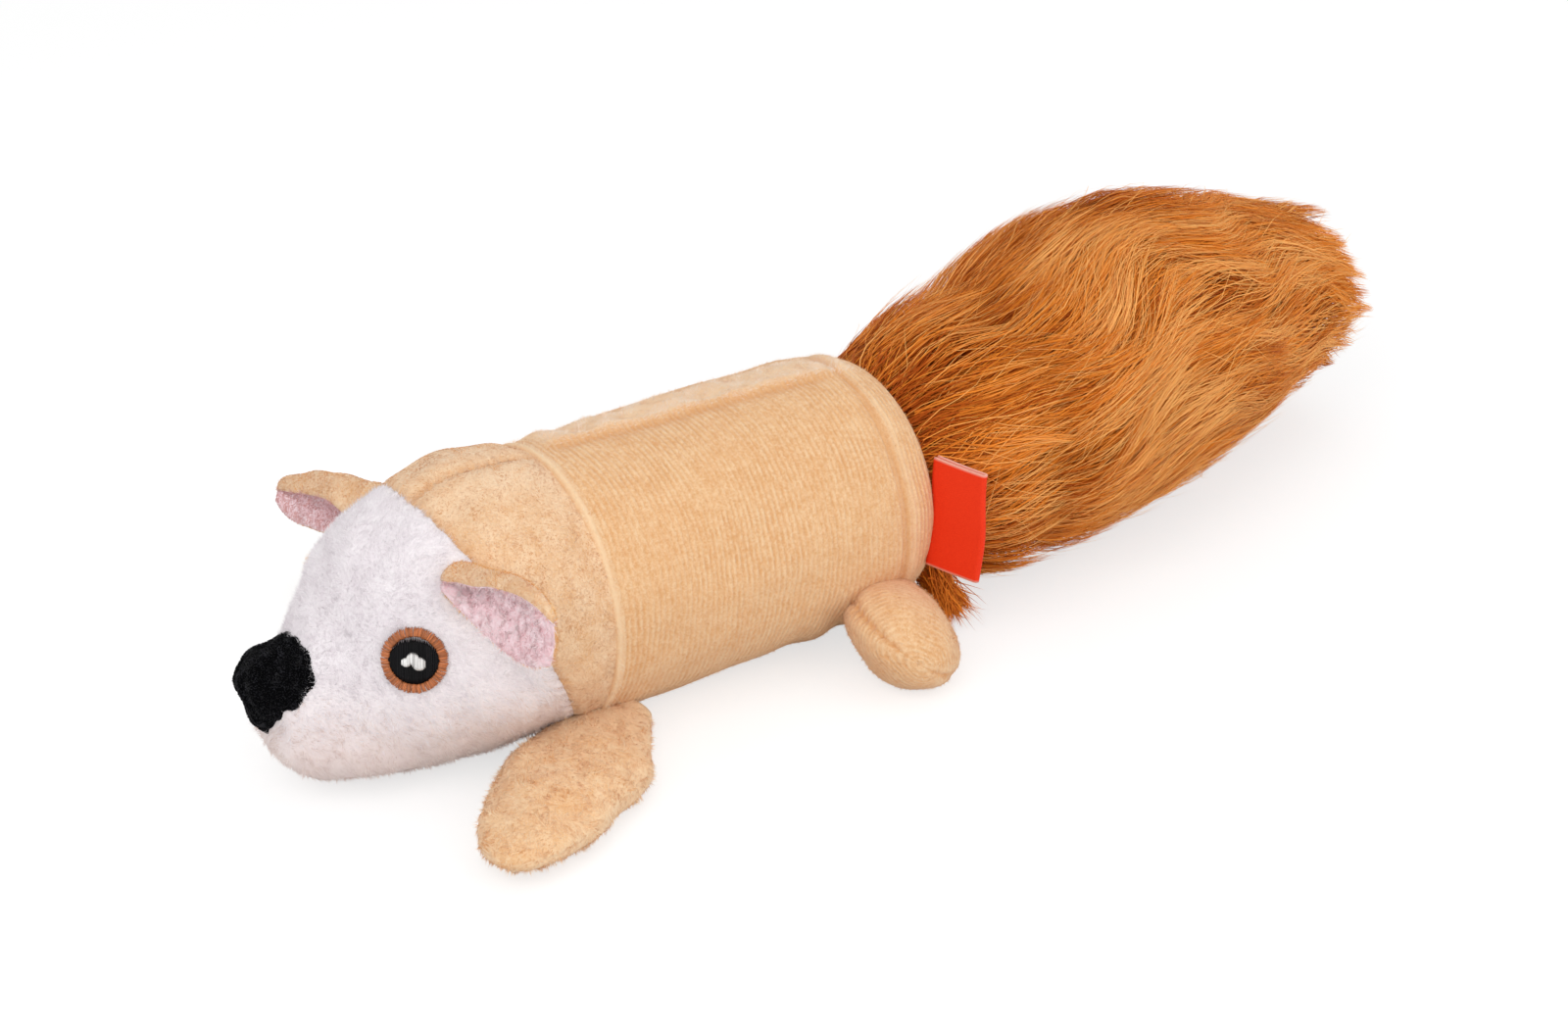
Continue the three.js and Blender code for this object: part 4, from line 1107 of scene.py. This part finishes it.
def on_sleeve(middle):
    """1 on the sleeve's skin and 0 on its ends, its flat and the brushed strip behind the ridge."""
    y, z = middle[:, 1], middle[:, 2]
    return ramp(y, 1, 3) * (y < 87) * (z > CLEAR) * (1 - behind_ridge(middle))


def behind_ridge(middle):
    """1 on the strip behind the ridge, where the nap is brushed up and its fuzz is lighter, partly as painted
    highlight.
    """
    x, y, z = middle.T
    away = -from_ridge(x, y)
    return (z > AXIS) * ramp(away, -1.6, 0.4) * ramp(-away, -15, -10) * ramp(y, 4, 8) * ramp(-y, -84, -78)


def on_neck_seam(middle):
    return (abs(middle[:, 1] - 1.1) < 1.3) & (middle[:, 2] > CLEAR)


back = (0, 1, -0.3)
make_fuzz("face_fuzz", spots["face"], 30000, (1.4, 0.17), back, ((243, 236, 240), (250, 246, 248)), on_face,
          0.7, 0.35, 6.0, slot="white_plush")
# Darker, warmer fuzz on the chin: painted warm shade on the lower face.
make_fuzz("chin_fuzz", spots["face"], 16000, (1.6, 0.19), back, ((226, 206, 200), (248, 234, 228)), on_shaded_chin,
          0.6, 0.6, 5.0, slot="white_plush")
# The nose fuzz runs from black to grey at random, and the grey partly stands for painted highlight on the curls.
make_fuzz("nose_fuzz", nose, 12000, (1.8, 0.27), (0, 0, 0), ((3, 3, 4), (30, 30, 36)), None, 1.2, 0.9, 3.0,
          slot="black_plush", look="dark_fuzz")
make_fuzz("nape_fuzz", spots["nape"], 24000, (1.6, 0.18), back, ((228, 174, 124), (255, 232, 202)), None, 0.7, 0.8)
make_fuzz("sleeve_fuzz", sleeve, 20000, (0.8, 0.15), (0, 1, 0), ((224, 162, 104), (252, 212, 164)), on_sleeve, 0.7, 0.3)
# Lighter fuzz on the strip behind the ridge: brushed nap, partly painted highlight.
make_fuzz("ridge_fuzz", sleeve, 9000, (1.1, 0.16), (0.2, 1, 0), ((255, 226, 200), (255, 240, 224)), behind_ridge,
          0.4, 0.6, 5.0)
# Lighter fuzz on the neck seam roll: painted highlight.
make_fuzz("neck_seam_fuzz", sleeve, 4600, (1.1, 0.15), (0, -0.3, 0), ((252, 219, 178), (255, 240, 220)), on_neck_seam,
          1.2, 0.3)
make_tail_fur("tail_hair", 26300, 900, -0.03, 0.86, 44)
make_tail_fur("tail_tip", 3000, 130, 0.76, 0.84, 40, 34.0)
lifted = ("tail_root", "tail", to_row([0, 91, AXIS]), to_row([0, 110, AXIS]))
make_tail_fur("tail_collar", 3600, 170, -0.066, -0.035, 34, 5.0, lifted, ("tail_collar",))
make_tuft(("torso", "tail_root", to_row([0, 90, AXIS]), to_row([0, 108, AXIS])))
